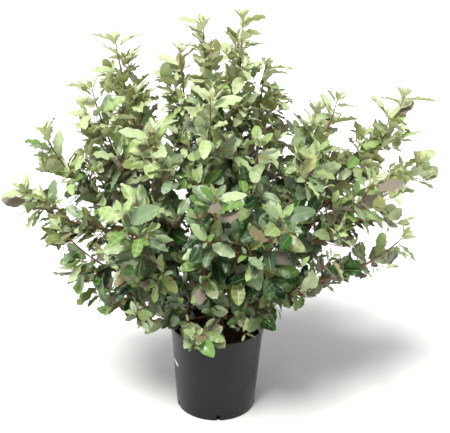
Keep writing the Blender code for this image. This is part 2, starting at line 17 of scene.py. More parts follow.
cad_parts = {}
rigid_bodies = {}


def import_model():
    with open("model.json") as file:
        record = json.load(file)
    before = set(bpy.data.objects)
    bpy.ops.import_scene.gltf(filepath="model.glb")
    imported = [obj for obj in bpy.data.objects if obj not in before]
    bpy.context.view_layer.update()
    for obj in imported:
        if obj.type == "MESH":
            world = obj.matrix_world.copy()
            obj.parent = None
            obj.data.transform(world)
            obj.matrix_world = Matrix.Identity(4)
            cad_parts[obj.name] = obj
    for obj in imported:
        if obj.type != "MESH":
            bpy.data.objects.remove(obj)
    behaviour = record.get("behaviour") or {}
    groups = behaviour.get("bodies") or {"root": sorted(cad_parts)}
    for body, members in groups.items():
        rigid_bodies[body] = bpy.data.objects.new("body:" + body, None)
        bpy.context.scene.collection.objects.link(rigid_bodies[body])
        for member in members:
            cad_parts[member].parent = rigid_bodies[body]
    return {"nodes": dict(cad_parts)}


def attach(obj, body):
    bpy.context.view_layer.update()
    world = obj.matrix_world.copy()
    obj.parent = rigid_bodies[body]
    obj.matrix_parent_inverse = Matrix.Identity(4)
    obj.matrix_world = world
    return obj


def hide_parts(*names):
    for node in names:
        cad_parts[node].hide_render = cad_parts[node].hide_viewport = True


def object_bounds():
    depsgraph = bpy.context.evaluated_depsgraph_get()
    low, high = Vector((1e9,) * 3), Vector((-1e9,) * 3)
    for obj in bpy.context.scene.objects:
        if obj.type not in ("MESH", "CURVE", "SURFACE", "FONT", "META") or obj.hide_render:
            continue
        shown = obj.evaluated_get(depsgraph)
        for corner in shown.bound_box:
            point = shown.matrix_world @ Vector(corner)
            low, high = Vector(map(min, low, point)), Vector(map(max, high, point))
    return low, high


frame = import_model()
cad_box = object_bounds()
print("solids:", len(frame["nodes"]))
print("box:", [tuple(round(v, 3) for v in corner) for corner in cad_box])

# %% [markdown]
# ## Helpers for materials
# A finish starts as a Principled shader, and most of its numbers can stay plain. Colours are
# easiest to judge as they look on a screen, so they are written as screen values of 0 to 255,
# and one helper turns those into the linear ones that the shader wants. The others make the
# material, add nodes to it, and let one noise drive both its relief and its colour.


# %% Make materials from screen colours
def screen(red, green, blue):
    return tuple((value / 255) ** 2.2 for value in (red, green, blue))


def shader_of(material):
    return material.node_tree.nodes["Principled BSDF"]


def finish_of(name, colour, roughness, **sockets):
    material = bpy.data.materials.new(name)
    material.use_nodes = True
    shader = shader_of(material)
    shader.inputs["Base Color"].default_value = (*screen(*colour), 1.0)
    shader.inputs["Roughness"].default_value = roughness
    for socket, value in sockets.items():
        shader.inputs[socket.replace("_", " ")].default_value = value
    return material


def add_node(material, kind, **settings):
    node = material.node_tree.nodes.new(kind)
    for key, value in settings.items():
        if key in node.inputs:
            node.inputs[key].default_value = value
        else:
            setattr(node, key, value)
    return node


def join(material, source, output, target, socket):
    material.node_tree.links.new(source.outputs[output], target.inputs[socket])


def roughened(material, scale, strength, distance, stretch=(1, 1, 1), detail=4.0):
    """Adds a fine relief in the piece's own coordinates to a material, and returns its noise."""
    place = add_node(material, "ShaderNodeTexCoord")
    fit = add_node(material, "ShaderNodeMapping", Scale=stretch)
    grain = add_node(material, "ShaderNodeTexNoise", Scale=scale, Detail=detail)
    bump = add_node(material, "ShaderNodeBump", Strength=strength, Distance=distance)
    join(material, place, "Object", fit, "Vector")
    join(material, fit, "Vector", grain, "Vector")
    join(material, grain, "Fac", bump, "Height")
    join(material, bump, "Normal", shader_of(material), "Normal")
    return grain


def tinted(material, grain, dark, light):
    """Lets a noise run the base colour from a dark to a light tone."""
    ramp = add_node(material, "ShaderNodeValToRGB")
    ends = ramp.color_ramp.elements
    ends[0].position, ends[0].color = 0.35, (*screen(*dark), 1.0)
    ends[1].position, ends[1].color = 0.65, (*screen(*light), 1.0)
    join(material, grain, "Fac", ramp, "Fac")
    join(material, ramp, "Color", shader_of(material), "Base Color")


def grainy(name, colours, roughness, relief, **sockets):
    """A material with one noise for its relief and for its run between two colours."""
    middle, dark, light = colours
    material = finish_of(name, middle, roughness, **sockets)
    tinted(material, roughened(material, *relief), dark, light)
    return material


# %% Put meshes into the scene
def evaluated(obj):
    """Applies what the modifiers make of a mesh object, and clears them."""
    bpy.context.view_layer.update()
    graph = bpy.context.evaluated_depsgraph_get()
    mesh = bpy.data.meshes.new_from_object(obj.evaluated_get(graph))
    obj.modifiers.clear()
    obj.data = mesh
    return obj


def placed(name, data):
    """Puts a mesh, a light or a camera into the scene."""
    obj = bpy.data.objects.new(name, data)
    bpy.context.scene.collection.objects.link(obj)
    return obj


def shaped(name, points, faces, edges=()):
    """A mesh object from its points and faces."""
    mesh = bpy.data.meshes.new(name)
    mesh.from_pydata(points, edges, faces)
    return placed(name, mesh)


def grid_faces(columns, rows, first=0):
    """The quads of a grid of points that was listed row by row."""
    return [
        (first + r * columns + c, first + r * columns + c + 1,
         first + (r + 1) * columns + c + 1, first + (r + 1) * columns + c)
        for r in range(rows - 1) for c in range(columns - 1)
    ]


def clamped(value, most=1.0, least=0.0):
    return min(max(value, least), most)


# %% [markdown]
# ## The pot
# A nursery pot is blown or injected in one go: a thin tapering wall, a band round the rim that
# stiffens it, a rounded foot and slots through the foot for water. It could be stacked from
# cylinders, but a turned profile gives the band, the lip and the foot in one clean skin. The
# profile is drawn once and spun, and rounded blocks then cut the slots.

# %% Turn the pot
POT_HEIGHT = 0.270
POT_RIM_RADIUS = 0.140
POT_BASE_RADIUS = 0.119
POT_WALL = 0.0022
POT_FLOOR = 0.004
RIM_BAND_HEIGHT = 0.017
RIM_BAND_PROUD = 0.0018
POT_SIDES = 160
LIP, FOOT = 0.0014, 0.0035
INSIDE_BEND, INSIDE_FROM = 0.004, 0.010
BAND_BEND, BAND_EDGE = 0.0009, 0.0012
NECK_PROUD, NECK_LOWER = 0.0002, 0.0016
WALL_HEIGHTS = (0.030, 0.012)
HOLLOW_FROM, HOLLOW_EDGE, HOLLOW_DEEP = 0.010, 0.012, 0.0012


def wall_radius(height):
    widening = POT_RIM_RADIUS - RIM_BAND_PROUD - POT_BASE_RADIUS
    return POT_BASE_RADIUS + widening * height / POT_HEIGHT


def rounded(corner_radius, height, turn_from, turn_to, bend, steps=5):
    """The points of a rounded corner, by its arc's centre, radius and two angles in degrees."""
    points = []
    for step in range(steps + 1):
        angle = math.radians(turn_from + (turn_to - turn_from) * step / steps)
        points.append((corner_radius + bend * math.cos(angle), height + bend * math.sin(angle)))
    return points


def pot_profile():
    """From the floor's middle inside, up over the lip and down outside to the middle below."""
    band_foot = POT_HEIGHT - RIM_BAND_HEIGHT
    inner_top = wall_radius(POT_HEIGHT) - POT_WALL
    points = [(0.0, POT_FLOOR), (wall_radius(POT_FLOOR) - POT_WALL - INSIDE_BEND, POT_FLOOR)]
    points += [(wall_radius(INSIDE_FROM) - POT_WALL, INSIDE_FROM)]
    points += rounded(inner_top + LIP, POT_HEIGHT - LIP, 180, 90, LIP)
    points += rounded(POT_RIM_RADIUS - LIP, POT_HEIGHT - LIP, 90, 0, LIP)
    points += rounded(POT_RIM_RADIUS - BAND_EDGE, band_foot, 0, -90, BAND_BEND, 3)
    points += [(wall_radius(band_foot) + NECK_PROUD, band_foot - NECK_LOWER)]
    points += [(wall_radius(height), height) for height in WALL_HEIGHTS]
    points += rounded(POT_BASE_RADIUS - FOOT, FOOT, 0, -90, FOOT)
    points += [(POT_BASE_RADIUS - HOLLOW_FROM, 0.0)]
    return points + [(POT_BASE_RADIUS - HOLLOW_EDGE, HOLLOW_DEEP), (0.0, HOLLOW_DEEP)]


def turned(name, profile, sides):
    edges = [(i, i + 1) for i in range(len(profile) - 1)]
    obj = shaped(name, [(radius, 0.0, height) for radius, height in profile], [], edges)
    screw = obj.modifiers.new("turn", "SCREW")
    screw.steps = screw.render_steps = sides
    screw.use_merge_vertices = True
    screw.merge_threshold = 0.00005
    return evaluated(obj)


pot = turned("nursery_pot", pot_profile(), POT_SIDES)
print("turned faces:", len(pot.data.polygons))


# %% Cut the drainage slots
SLOTS = 5
SLOT_FIRST_DEGREES = -86
SLOT_WIDTH = 0.011
SLOT_HEIGHT = 0.020
SLOT_DEEP = 0.006
SLOT_ROUNDED = 0.3


def slot_cutter(index):
    """An upright block with an arched top, through the foot of the wall."""
    bm = bmesh.new()
    bmesh.ops.create_cube(bm, size=1.0)
    bmesh.ops.scale(bm, vec=(SLOT_DEEP * 2, SLOT_WIDTH, SLOT_HEIGHT * 2), verts=bm.verts)
    across = [e for e in bm.edges if abs((e.verts[0].co - e.verts[1].co).x) > SLOT_DEEP]
    top = [e for e in across if e.verts[0].co.z > 0]
    arch = SLOT_WIDTH * SLOT_ROUNDED
    bmesh.ops.bevel(bm, geom=top, offset=arch, segments=5, affect="EDGES", profile=0.5)
    bmesh.ops.translate(bm, vec=(POT_BASE_RADIUS, 0, 0), verts=bm.verts)
    angle = math.radians(SLOT_FIRST_DEGREES + index * 360 / SLOTS)
    bmesh.ops.rotate(bm, matrix=Matrix.Rotation(angle, 3, "Z"), verts=bm.verts)
    mesh = bpy.data.meshes.new("slot")
    bm.to_mesh(mesh)
    bm.free()
    return placed("slot", mesh)


for index in range(SLOTS):
    cutter = slot_cutter(index)
    cut = pot.modifiers.new("slot", "BOOLEAN")
    cut.operation = "DIFFERENCE"
    cut.object = cutter
    evaluated(pot)
    bpy.data.objects.remove(cutter)
pot.data.shade_smooth()
pot.data.set_sharp_from_angle(angle=math.radians(38))
print("pot faces:", len(pot.data.polygons))

# %% [markdown]
# ## The pot's plastic
# The plastic is charcoal black and matt. Close up it isn't even: it has faint clouds from the
# mould, fine pits, and dust and lime that settle as pale specks. Three noises of different sizes
# give that without any image: a slow one for the clouds, a fine one for the pits, and a sharp
# one for the specks.

# %% Finish the pot
plastic = finish_of("pot_plastic", (12, 11, 15), 0.28, Specular_IOR_Level=0.34)
roughened(plastic, 900.0, 0.25, 0.0004, detail=3.0)
plastic_place = add_node(plastic, "ShaderNodeTexCoord")
clouds = add_node(plastic, "ShaderNodeTexNoise", Scale=14.0, Detail=5.0, Roughness=0.6)
specks = add_node(plastic, "ShaderNodeTexNoise", Scale=420.0, Detail=1.0)
join(plastic, plastic_place, "Object", clouds, "Vector")
join(plastic, plastic_place, "Object", specks, "Vector")
tinted(plastic, clouds, (6, 5, 11), (13, 11, 21))
speck_share = add_node(
    plastic, "ShaderNodeMapRange", **{"From Min": 0.70, "From Max": 0.78, "To Max": 0.35},
)
join(plastic, specks, "Fac", speck_share, "Value")
speckled = add_node(plastic, "ShaderNodeMix", data_type="RGBA")
cloud_ramp = shader_of(plastic).inputs["Base Color"].links[0].from_node
plastic.node_tree.links.new(speck_share.outputs["Result"], speckled.inputs[0])
plastic.node_tree.links.new(cloud_ramp.outputs["Color"], speckled.inputs[6])
speckled.inputs[7].default_value = (*screen(120, 116, 112), 1.0)
plastic.node_tree.links.new(speckled.outputs[2], shader_of(plastic).inputs["Base Color"])
wear = add_node(plastic, "ShaderNodeMapRange", **{"To Min": 0.22, "To Max": 0.34})
join(plastic, clouds, "Fac", wear, "Value")
join(plastic, wear, "Result", shader_of(plastic), "Roughness")
pot.data.materials.append(plastic)
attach(pot, "root")
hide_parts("pot")
print("nodes of the plastic:", len(plastic.node_tree.nodes))

# %% [markdown]
# ## The blank label
# A small white label is stuck askew on the wall, at the far left, where it shows almost edge on.
# A flat card would stand off the round wall, so each point of a small grid is laid on the wall's
# own curve, a fraction of a millimetre proud of it. It stays blank.

# %% Lay the label on the wall
LABEL_MIDDLE_DEGREES = 202.7
LABEL_HEIGHT = 0.1574
LABEL_SIZE = (0.030, 0.010)
LABEL_TILT = math.radians(-19)
LABEL_PROUD = 0.0002
LABEL_THICKNESS = 0.0003
LABEL_GRID = (33, 3)


def on_wall(across, up):
    """A point of the label: turned by its tilt, then wrapped round the pot's wall."""
    side = across * math.cos(LABEL_TILT) - up * math.sin(LABEL_TILT)
    height = LABEL_HEIGHT + across * math.sin(LABEL_TILT) + up * math.cos(LABEL_TILT)
    radius = wall_radius(height) + LABEL_PROUD
    angle = math.radians(LABEL_MIDDLE_DEGREES) + side / radius
    return (radius * math.cos(angle), radius * math.sin(angle), height)


label_points = []
for row in range(LABEL_GRID[1]):
    up = LABEL_SIZE[1] * (row / (LABEL_GRID[1] - 1) - 0.5)
    for column in range(LABEL_GRID[0]):
        label_points.append(on_wall(LABEL_SIZE[0] * (column / (LABEL_GRID[0] - 1) - 0.5), up))
label = shaped("blank_label", label_points, grid_faces(*LABEL_GRID))
card = label.modifiers.new("card", "SOLIDIFY")
card.thickness = LABEL_THICKNESS
card.offset = 1.0
evaluated(label)
label.data.shade_smooth()
label.data.set_sharp_from_angle(angle=math.radians(40))
label_white = finish_of("label_white", (236, 236, 232), 0.45)
roughened(label_white, 500.0, 0.1, 0.0002)
label.data.materials.append(label_white)
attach(label, "root")
print("points across and up the label:", LABEL_GRID)

# %% [markdown]
# ## The compost
# The fill is dark bark compost, a little below the rim, heaped at the foot of the plant and
# crumbly all over. A flat disc would look poured, so the disc is a fine grid that layers of
# noise raise and lower, and loose chips of bark lie on it, each a small block squashed and
# twisted its own way.

# %% Fill the pot with compost
COMPOST_LEVEL = POT_HEIGHT - 0.024
COMPOST_RADIUS = wall_radius(COMPOST_LEVEL) - POT_WALL - 0.0004
RINGS, SPOKES = 34, 96
SETTLED, HEAP = 0.003, 0.006
CRUMBS = ((25, 0.0045), (90, 0.0030), (260, 0.0016))
LOWER_RINGS = ((0.028, 0.0004), (0.023, 0.009), (POT_FLOOR + 0.0006, 0.011))


def compost_height(x, y):
    """The level of the surface: a low heap in the middle, and crumbs of three sizes."""
    reach = math.hypot(x, y) / COMPOST_RADIUS
    heap = HEAP * (1 - reach**2)
    rough = sum(
        size * noise.noise(Vector((x * scale, y * scale, scale))) for scale, size in CRUMBS
    )
    return COMPOST_LEVEL - SETTLED + heap + rough


def ring_of(radius):
    angles = [math.tau * spoke / SPOKES for spoke in range(SPOKES)]
    return [(radius * math.cos(angle), radius * math.sin(angle)) for angle in angles]


points = [(0.0, 0.0, compost_height(0, 0))]
for ring in range(1, RINGS + 1):
    points += [(x, y, compost_height(x, y)) for x, y in ring_of(COMPOST_RADIUS * ring / RINGS)]
for low, inset in LOWER_RINGS:
    points += [(x, y, low) for x, y in ring_of(wall_radius(low) - POT_WALL - inset)]
faces = [(0, 1 + s, 1 + (s + 1) % SPOKES) for s in range(SPOKES)]
last_ring = RINGS + len(LOWER_RINGS) - 1
for ring in range(last_ring):
    for s in range(SPOKES):
        a, b = 1 + ring * SPOKES + s, 1 + ring * SPOKES + (s + 1) % SPOKES
        faces.append((a, a + SPOKES, b + SPOKES, b))
faces.append(tuple(1 + last_ring * SPOKES + s for s in reversed(range(SPOKES))))
compost = shaped("compost_fill", points, faces)
compost.data.shade_smooth()
print("compost faces:", len(compost.data.polygons))

# %% Strew chips of bark on the compost
CHIPS = 420
NO_CHIPS_WITHIN, CHIPS_OUT_TO = 0.035, 0.96
CHIP_SIZES, CHIP_WIDTHS, CHIP_HEIGHTS = (0.003, 0.0085), (0.4, 0.9), (0.18, 0.4)
CHIP_BENT, CHIP_TILT, CHIP_LIFTED = 0.22, 0.5, 0.1

rng = random.Random(5)
chips = bmesh.new()
for _ in range(CHIPS):
    reach = COMPOST_RADIUS * CHIPS_OUT_TO * math.sqrt(rng.random())
    angle = rng.uniform(0, math.tau)
    x, y = reach * math.cos(angle), reach * math.sin(angle)
    if reach < NO_CHIPS_WITHIN:
        continue
    size = rng.uniform(*CHIP_SIZES)
    made = bmesh.ops.create_cube(chips, size=1.0)["verts"]
    for vert in made:
        vert.co += Vector([rng.uniform(-CHIP_BENT, CHIP_BENT) for _ in range(3)])
    width, height = size * rng.uniform(*CHIP_WIDTHS), size * rng.uniform(*CHIP_HEIGHTS)
    squash = Matrix.Diagonal((size, width, height, 1))
    heading = Matrix.Rotation(rng.uniform(0, math.tau), 4, "Z")
    turn = heading @ Matrix.Rotation(rng.uniform(-CHIP_TILT, CHIP_TILT), 4, "X")
    spot = Matrix.Translation((x, y, compost_height(x, y) + size * CHIP_LIFTED))
    bmesh.ops.transform(chips, matrix=spot @ turn @ squash, verts=made)
chip_mesh = bpy.data.meshes.new("bark_chips")
chips.to_mesh(chip_mesh)
chips.free()
bark_chips = placed("bark_chips", chip_mesh)

COMPOST_COLOURS = ((48, 37, 30), (30, 23, 19), (74, 56, 43))
CHIP_COLOURS = ((88, 62, 44), (46, 33, 25), (112, 80, 56))
compost_brown = grainy("compost_brown", COMPOST_COLOURS, 0.95, (260.0, 0.8, 0.002))
chip_brown = grainy("chip_brown", CHIP_COLOURS, 0.9, (120.0, 0.6, 0.001))
for piece, material in ((compost, compost_brown), (bark_chips, chip_brown)):
    piece.data.materials.append(material)
    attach(piece, "root")
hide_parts("compost")
print("chips:", len(bark_chips.data.polygons) // 6)

# %% [markdown]
# ## The plan of the shrub
# A shrub's form is the sum of its shoots. Each one leaves its parent somewhere along the
# parent's bare wood, spreads outwards, and turns up to the light at its tip. The part's solids
# follow one table of shoots, so the same table stands here, and whatever grows on it falls
# where the solids are.

# %% Lay out the shoots
PLAN = (
    ("top", "trunk", 1.00, 40, 0.07, 1.17, True),
    ("top_left", "top", 0.62, 170, 0.055, 1.155, True),
    ("top_back_left", "top", 0.40, 158, 0.13, 1.08, True),
    ("top_right", "top", 0.80, 30, 0.14, 1.04, True),
    ("left_top", "trunk", 0.80, 170, 0.30, 1.10, True),
    ("left_outer", "left_top", 0.70, -171, 0.355, 1.00, True),
    ("far_left", "left_top", 0.36, 180, 0.50, 0.86, True),
    ("far_left_low", "far_left", 0.60, -172, 0.56, 0.72, True),
    ("front_left", "trunk", 0.68, -125, 0.43, 0.76, True),
    ("front_left_high", "front_left", 0.80, -130, 0.27, 0.93, True),
    ("front", "trunk", 0.86, -92, 0.36, 0.81, True),
    ("front_top", "front", 0.84, -100, 0.17, 1.00, True),
    ("front_right", "front", 0.48, -68, 0.41, 0.77, True),
    ("right_top", "trunk", 0.76, 8, 0.33, 0.96, True),
    ("right_front", "right_top", 0.84, -36, 0.31, 0.88, True),
    ("far_right", "right_top", 0.60, 5, 0.515, 0.97, True),
    ("far_right_out", "far_right", 0.70, 0, 0.57, 0.80, True),
    ("far_right_front", "right_top", 0.36, -24, 0.45, 0.80, True),
    ("back_left", "trunk", 0.68, 128, 0.50, 0.85, True),
    ("back_right", "trunk", 0.72, 52, 0.50, 0.85, True),
    ("back", "back_right", 0.80, 95, 0.29, 1.01, True),
    ("front_right_high", "trunk", 0.72, -62, 0.21, 0.90, False),
    ("far_left_front", "trunk", 0.60, -155, 0.48, 0.66, False),
    ("far_right_droop", "trunk", 0.60, -12, 0.54, 0.62, False),
    ("front_mid", "trunk", 0.52, -100, 0.26, 0.60, False),
    ("left_mid", "trunk", 0.50, -180, 0.30, 0.62, False),
    ("right_mid", "trunk", 0.46, 12, 0.30, 0.60, False),
    ("back_mid", "trunk", 0.52, 108, 0.28, 0.62, False),
    ("far_left_droop", "trunk", 0.42, -162, 0.45, 0.52, False),
    ("front_right_low", "trunk", 0.42, -30, 0.37, 0.58, False),
    ("back_left_low", "trunk", 0.40, 152, 0.45, 0.50, False),
    ("back_right_low", "trunk", 0.40, 38, 0.45, 0.50, False),
    ("back_low", "trunk", 0.34, 88, 0.43, 0.42, False),
    ("front_low", "trunk", 0.32, -104, 0.27, 0.36, False),
    ("front_left_low", "trunk", 0.30, -138, 0.33, 0.41, False),
    ("front_right_foot", "trunk", 0.30, -52, 0.25, 0.43, False),
)
print("shoots in the plan:", len(PLAN))

# %% [markdown]
# ## The curve of a shoot
# Each row of the plan has a shoot's name, its parent, the share of its parent's bare wood at
# which it leaves, its azimuth in degrees, the reach and height of its tip in metres, and
# whether its lower part is a bare limb. A shoot's curve is one cubic from its parent to its
# tip. Its radius shrinks evenly with the length that is left, but stays under its parent's.


# %% Measure along curves and lines
def cubic(points, share):
    a, b, c, d = points
    rest = 1 - share
    return a * rest**3 + b * 3 * rest**2 * share + c * 3 * rest * share**2 + d * share**3


def along(points, first, last, count):
    return [cubic(points, first + (last - first) * i / (count - 1)) for i in range(count)]


def length_of(line):
    return sum((b - a).length for a, b in zip(line, line[1:]))


def finely(points, first, last, step):
    """Shares of a curve from a first to a last one, about a step apart."""
    count = max(3, round(length_of(along(points, first, last, 16)) / step))
    return [first + (last - first) * i / count for i in range(count + 1)]


def place_on(line, share):
    """The point at a share of a line's length, and the line's direction there."""
    left = share * length_of(line)
    for a, b in zip(line, line[1:]):
        step = (b - a).length
        if left <= step or b is line[-1]:
            return a.lerp(b, left / step), (b - a).normalized()
        left -= step


# %% Draw the trunk's curve
CLEARANCE = 0.0003
TRUNK_HEIGHT = 0.130
TRUNK_BASE_RADIUS = 0.017
TRUNK_TOP_RADIUS = 0.0125
FLARE = 0.011
FLARE_HEIGHT = 0.009
TRUNK_LEAN = Vector((0.006, 0.004, 0.0))
TRUNK_HANDLES = (0.35, 0.70)
UP = Vector((0, 0, 1))


def trunk_line():
    foot = Vector((0, 0, COMPOST_LEVEL + CLEARANCE))
    rise = UP * TRUNK_HEIGHT
    low, high = (foot + rise * share for share in TRUNK_HANDLES)
    return [foot, low, high + TRUNK_LEAN / 2, foot + rise + TRUNK_LEAN]


def trunk_radius(share):
    flare = FLARE * math.exp(-share * TRUNK_HEIGHT / FLARE_HEIGHT)
    return TRUNK_BASE_RADIUS + (TRUNK_TOP_RADIUS - TRUNK_BASE_RADIUS) * share + flare


print("trunk length:", round(length_of(along(trunk_line(), 0, 1, 24)), 3))


# %% Give each shoot its curve and its radii
RADIUS_AT_TIP = 0.0014
RADIUS_PER_METRE = 0.0058
LEADER_LENGTH = 0.42
LEADER_SHARE = 0.72
RISE_LOW, RISE_HIGH, RISE_SPAN = 0.15, 1.0, 0.85
SPREAD, LIFT, STEEPEST = 0.45, 0.15, 0.15
HANDLE_AT_FORK, HANDLE_AT_TIP = 0.36, 0.34
WIDEST_OF_PARENT = 0.78
LEAF_PAST_TIP = 0.056


def shoot_curve(start, tip):
    """Leaves its parent outwards, then turns up to its tip: high shoots more than low ones."""
    way = (tip - start).normalized()
    size = (tip - start).length
    flat = Vector((way.x, way.y, 0.0))
    if flat.length > STEEPEST:
        flat.normalize()
    outward = (way + flat * SPREAD + UP * LIFT).normalized()
    height_share = clamped((tip.z - POT_HEIGHT) / RISE_SPAN)
    turned_up = (way + UP * (RISE_LOW + (RISE_HIGH - RISE_LOW) * height_share)).normalized()
    end = tip - turned_up * LEAF_PAST_TIP
    return [start, start + outward * size * HANDLE_AT_FORK, end - turned_up * size * HANDLE_AT_TIP, end]


class Shoot:
    """One entry of the plan: its curve, the share of it that is bare limb, and its radii."""

    def __init__(self, entry, shoots):
        self.name, self.parent, self.fork, self.azimuth, reach, self.height, self.has_limb = entry
        if self.parent == "trunk":
            start, parent_radius = cubic(trunk_line(), self.fork), trunk_radius(self.fork)
        else:
            parent = shoots[self.parent]
            at = self.fork * parent.limb_share
            start, parent_radius = cubic(parent.curve, at), parent.radius(at)
        self.widest = parent_radius * WIDEST_OF_PARENT
        turn = math.radians(self.azimuth)
        tip = Vector((reach * math.cos(turn), reach * math.sin(turn), self.height))
        self.curve = shoot_curve(start, tip)
        self.length = length_of(along(self.curve, 0, 1, 24))
        leader = min(LEADER_LENGTH, self.length * LEADER_SHARE)
        self.limb_share = 1 - leader / self.length if self.has_limb else 0.0

    def radius(self, share):
        return min(RADIUS_AT_TIP + RADIUS_PER_METRE * self.length * (1 - share), self.widest)


shoots = {}
for entry in PLAN:
    shoots[entry[0]] = Shoot(entry, shoots)
print("shoots:", len(shoots), "with limbs:", sum(s.has_limb for s in shoots.values()))

# %% [markdown]
# ## Bark
# Trunk, stems and boughs are round only from afar. The old wood is grey-brown with shallow
# furrows and a few knots, and the younger wood is smoother and russet. A bevelled curve would be
# a clean pipe, so each limb is built as rings of points round its curve, and noise moves every
# point in or out before the rings are joined: long furrows on the trunk, small knots above.


# %% Build tubes from rings of points
END_LENGTH = 0.8


def ring_frames(line):
    """Two directions square to the line at each of its points, carried along without a twist."""
    frames = []
    ways = [(b - a).normalized() for a, b in zip(line, line[1:])]
    ways.append(ways[-1])
    side = ways[0].orthogonal().normalized()
    for way in ways:
        side = (side - way * side.dot(way)).normalized()
        frames.append((side, way.cross(side)))
    return frames


def tube_points(line, radii, sides, relief=None):
    """Rings of points round a line, with a point at each end to close it."""
    points = [line[0]]
    for place, radius, (side, over) in zip(line, radii, ring_frames(line)):
        for k in range(sides):
            angle = math.tau * k / sides
            spoke = side * math.cos(angle) + over * math.sin(angle)
            wide = radius * (relief(place, spoke, radius) if relief else 1.0)
            points.append(place + spoke * wide)
    points.append(line[-1] + (line[-1] - line[-2]).normalized() * radii[-1] * END_LENGTH)
    return points


def tube_faces(rings, sides, first):
    last = first + 1 + rings * sides
    faces = [(first, first + 1 + (k + 1) % sides, first + 1 + k) for k in range(sides)]
    for r in range(rings - 1):
        row = first + 1 + r * sides
        for k in range(sides):
            a, b = row + k, row + (k + 1) % sides
            faces.append((a, b, b + sides, a + sides))
    row = last - sides
    faces += [(row + k, row + (k + 1) % sides, last) for k in range(sides)]
    return faces


class Tubes:
    """Collects many tubes, each with its material's number, and makes one mesh of them."""

    def __init__(self):
        self.points, self.faces, self.finishes = [], [], []

    def add(self, line, radii, sides, finish=0, relief=None):
        faces = tube_faces(len(line), sides, len(self.points))
        self.points += tube_points(line, radii, sides, relief)
        self.faces += faces
        self.finishes += [finish] * len(faces)

    def piece(self, name, materials):
        piece = shaped(name, self.points, self.faces)
        piece.data.polygons.foreach_set("material_index", self.finishes)
        piece.data.shade_smooth()
        for material in materials:
            piece.data.materials.append(material)
        return piece


# %% Model the trunk and the limbs
TRUNK_STEP, LIMB_STEP = 0.0025, 0.004
TRUNK_SIDES, LIMB_SIDES = 28, 14
TRUNK_SUNK = 0.006
FURROWS_ROUND, FURROWS_ALONG = 0.9, 14
FURROWS = ((2.2, 0.10), (5.5, 0.07))
LOBES, LOBE_DEPTH, LOBE_HEIGHT, LOBE_START = 5, 0.16, 0.014, 0.8
KNOTS = ((55, 0.13), (210, 0.07))


def layered(place, layers):
    """The sum of some noises, each with its scale and its depth."""
    return sum(depth * noise.noise(place * scale) for scale, depth in layers)


def furrows(place, spoke, radius):
    """Old bark: long furrows, and lobes where the roots leave at the foot."""
    at = spoke * FURROWS_ROUND + Vector((0, 0, place.z * FURROWS_ALONG))
    foot = math.exp(-(place.z - COMPOST_LEVEL) / LOBE_HEIGHT)
    lobes = LOBE_DEPTH * foot * math.sin(LOBES * math.atan2(spoke.y, spoke.x) + LOBE_START)
    return 1 + layered(at, FURROWS) + lobes


def knots(place, spoke, radius):
    """Young bark: smooth swellings, and a little roughness."""
    return 1 + layered(place + spoke * radius, KNOTS)


trunk_tube = Tubes()
shares = finely(trunk_line(), 0, 1, TRUNK_STEP)
line = [cubic(trunk_line(), s) for s in shares]
line.insert(0, line[0] - UP * TRUNK_SUNK)
trunk_tube.add(line, [trunk_radius(s) for s in [0.0] + shares], TRUNK_SIDES, 0, furrows)
limb_tubes = {"stem": Tubes(), "bough": Tubes()}
for shoot in shoots.values():
    if shoot.has_limb:
        shares = finely(shoot.curve, 0, shoot.limb_share, LIMB_STEP)
        line = [cubic(shoot.curve, s) for s in shares]
        kind = "stem" if shoot.parent == "trunk" else "bough"
        limb_tubes[kind].add(line, [shoot.radius(s) for s in shares], LIMB_SIDES, 0, knots)
print("points of stems and boughs:", [len(tubes.points) for tubes in limb_tubes.values()])

# %% Give trunk and limbs their bark
OLD_COLOURS = ((112, 92, 74), (70, 55, 44), (140, 118, 97))
YOUNG_COLOURS = ((118, 76, 52), (76, 50, 36), (138, 96, 68))
OLD_RELIEF = (130.0, 0.7, 0.0015, (1, 1, 0.25), 6.0)
YOUNG_RELIEF = (300.0, 0.5, 0.0008, (1, 1, 0.5), 5.0)
old_bark = grainy("old_bark", OLD_COLOURS, 0.9, OLD_RELIEF, Specular_IOR_Level=0.25)
young_bark = grainy("young_bark", YOUNG_COLOURS, 0.75, YOUNG_RELIEF, Specular_IOR_Level=0.3)
bark_trunk = trunk_tube.piece("bark_trunk", [old_bark])
bark_stems = limb_tubes["stem"].piece("bark_stems", [young_bark])
bark_boughs = limb_tubes["bough"].piece("bark_boughs", [young_bark])
for piece, slot in (
    (bark_trunk, "trunk_grey"), (bark_stems, "bark_russet"), (bark_boughs, "bark_russet"),
):
    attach(piece, "root")
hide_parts("trunk")
for shoot in shoots.values():
    if shoot.has_limb and shoot.parent == "trunk":
        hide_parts(f"stem_{shoot.name}")
    elif shoot.has_limb:
        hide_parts(f"bough_{shoot.name}")
print("limb faces:", sum(len(p.data.polygons) for p in (bark_trunk, bark_stems, bark_boughs)))

# %% [markdown]
# ## One leaf
# An elaeagnus leaf is a leathery oval with a wavy edge, folded a little along its pale midrib
# and arched towards its tip, on a short russet stalk. Its underside is silvery with brown
# scales. A flat card with a picture would do from afar, but real faces in the leaf's own
# outline catch the light and stay right from every side. So a leaf is a small grid, once for
# the top and once for the underside, with rows that slant as the side veins do. Twenty such
# forms, each with its own width, wave, fold and arch, keep neighbours from looking alike.

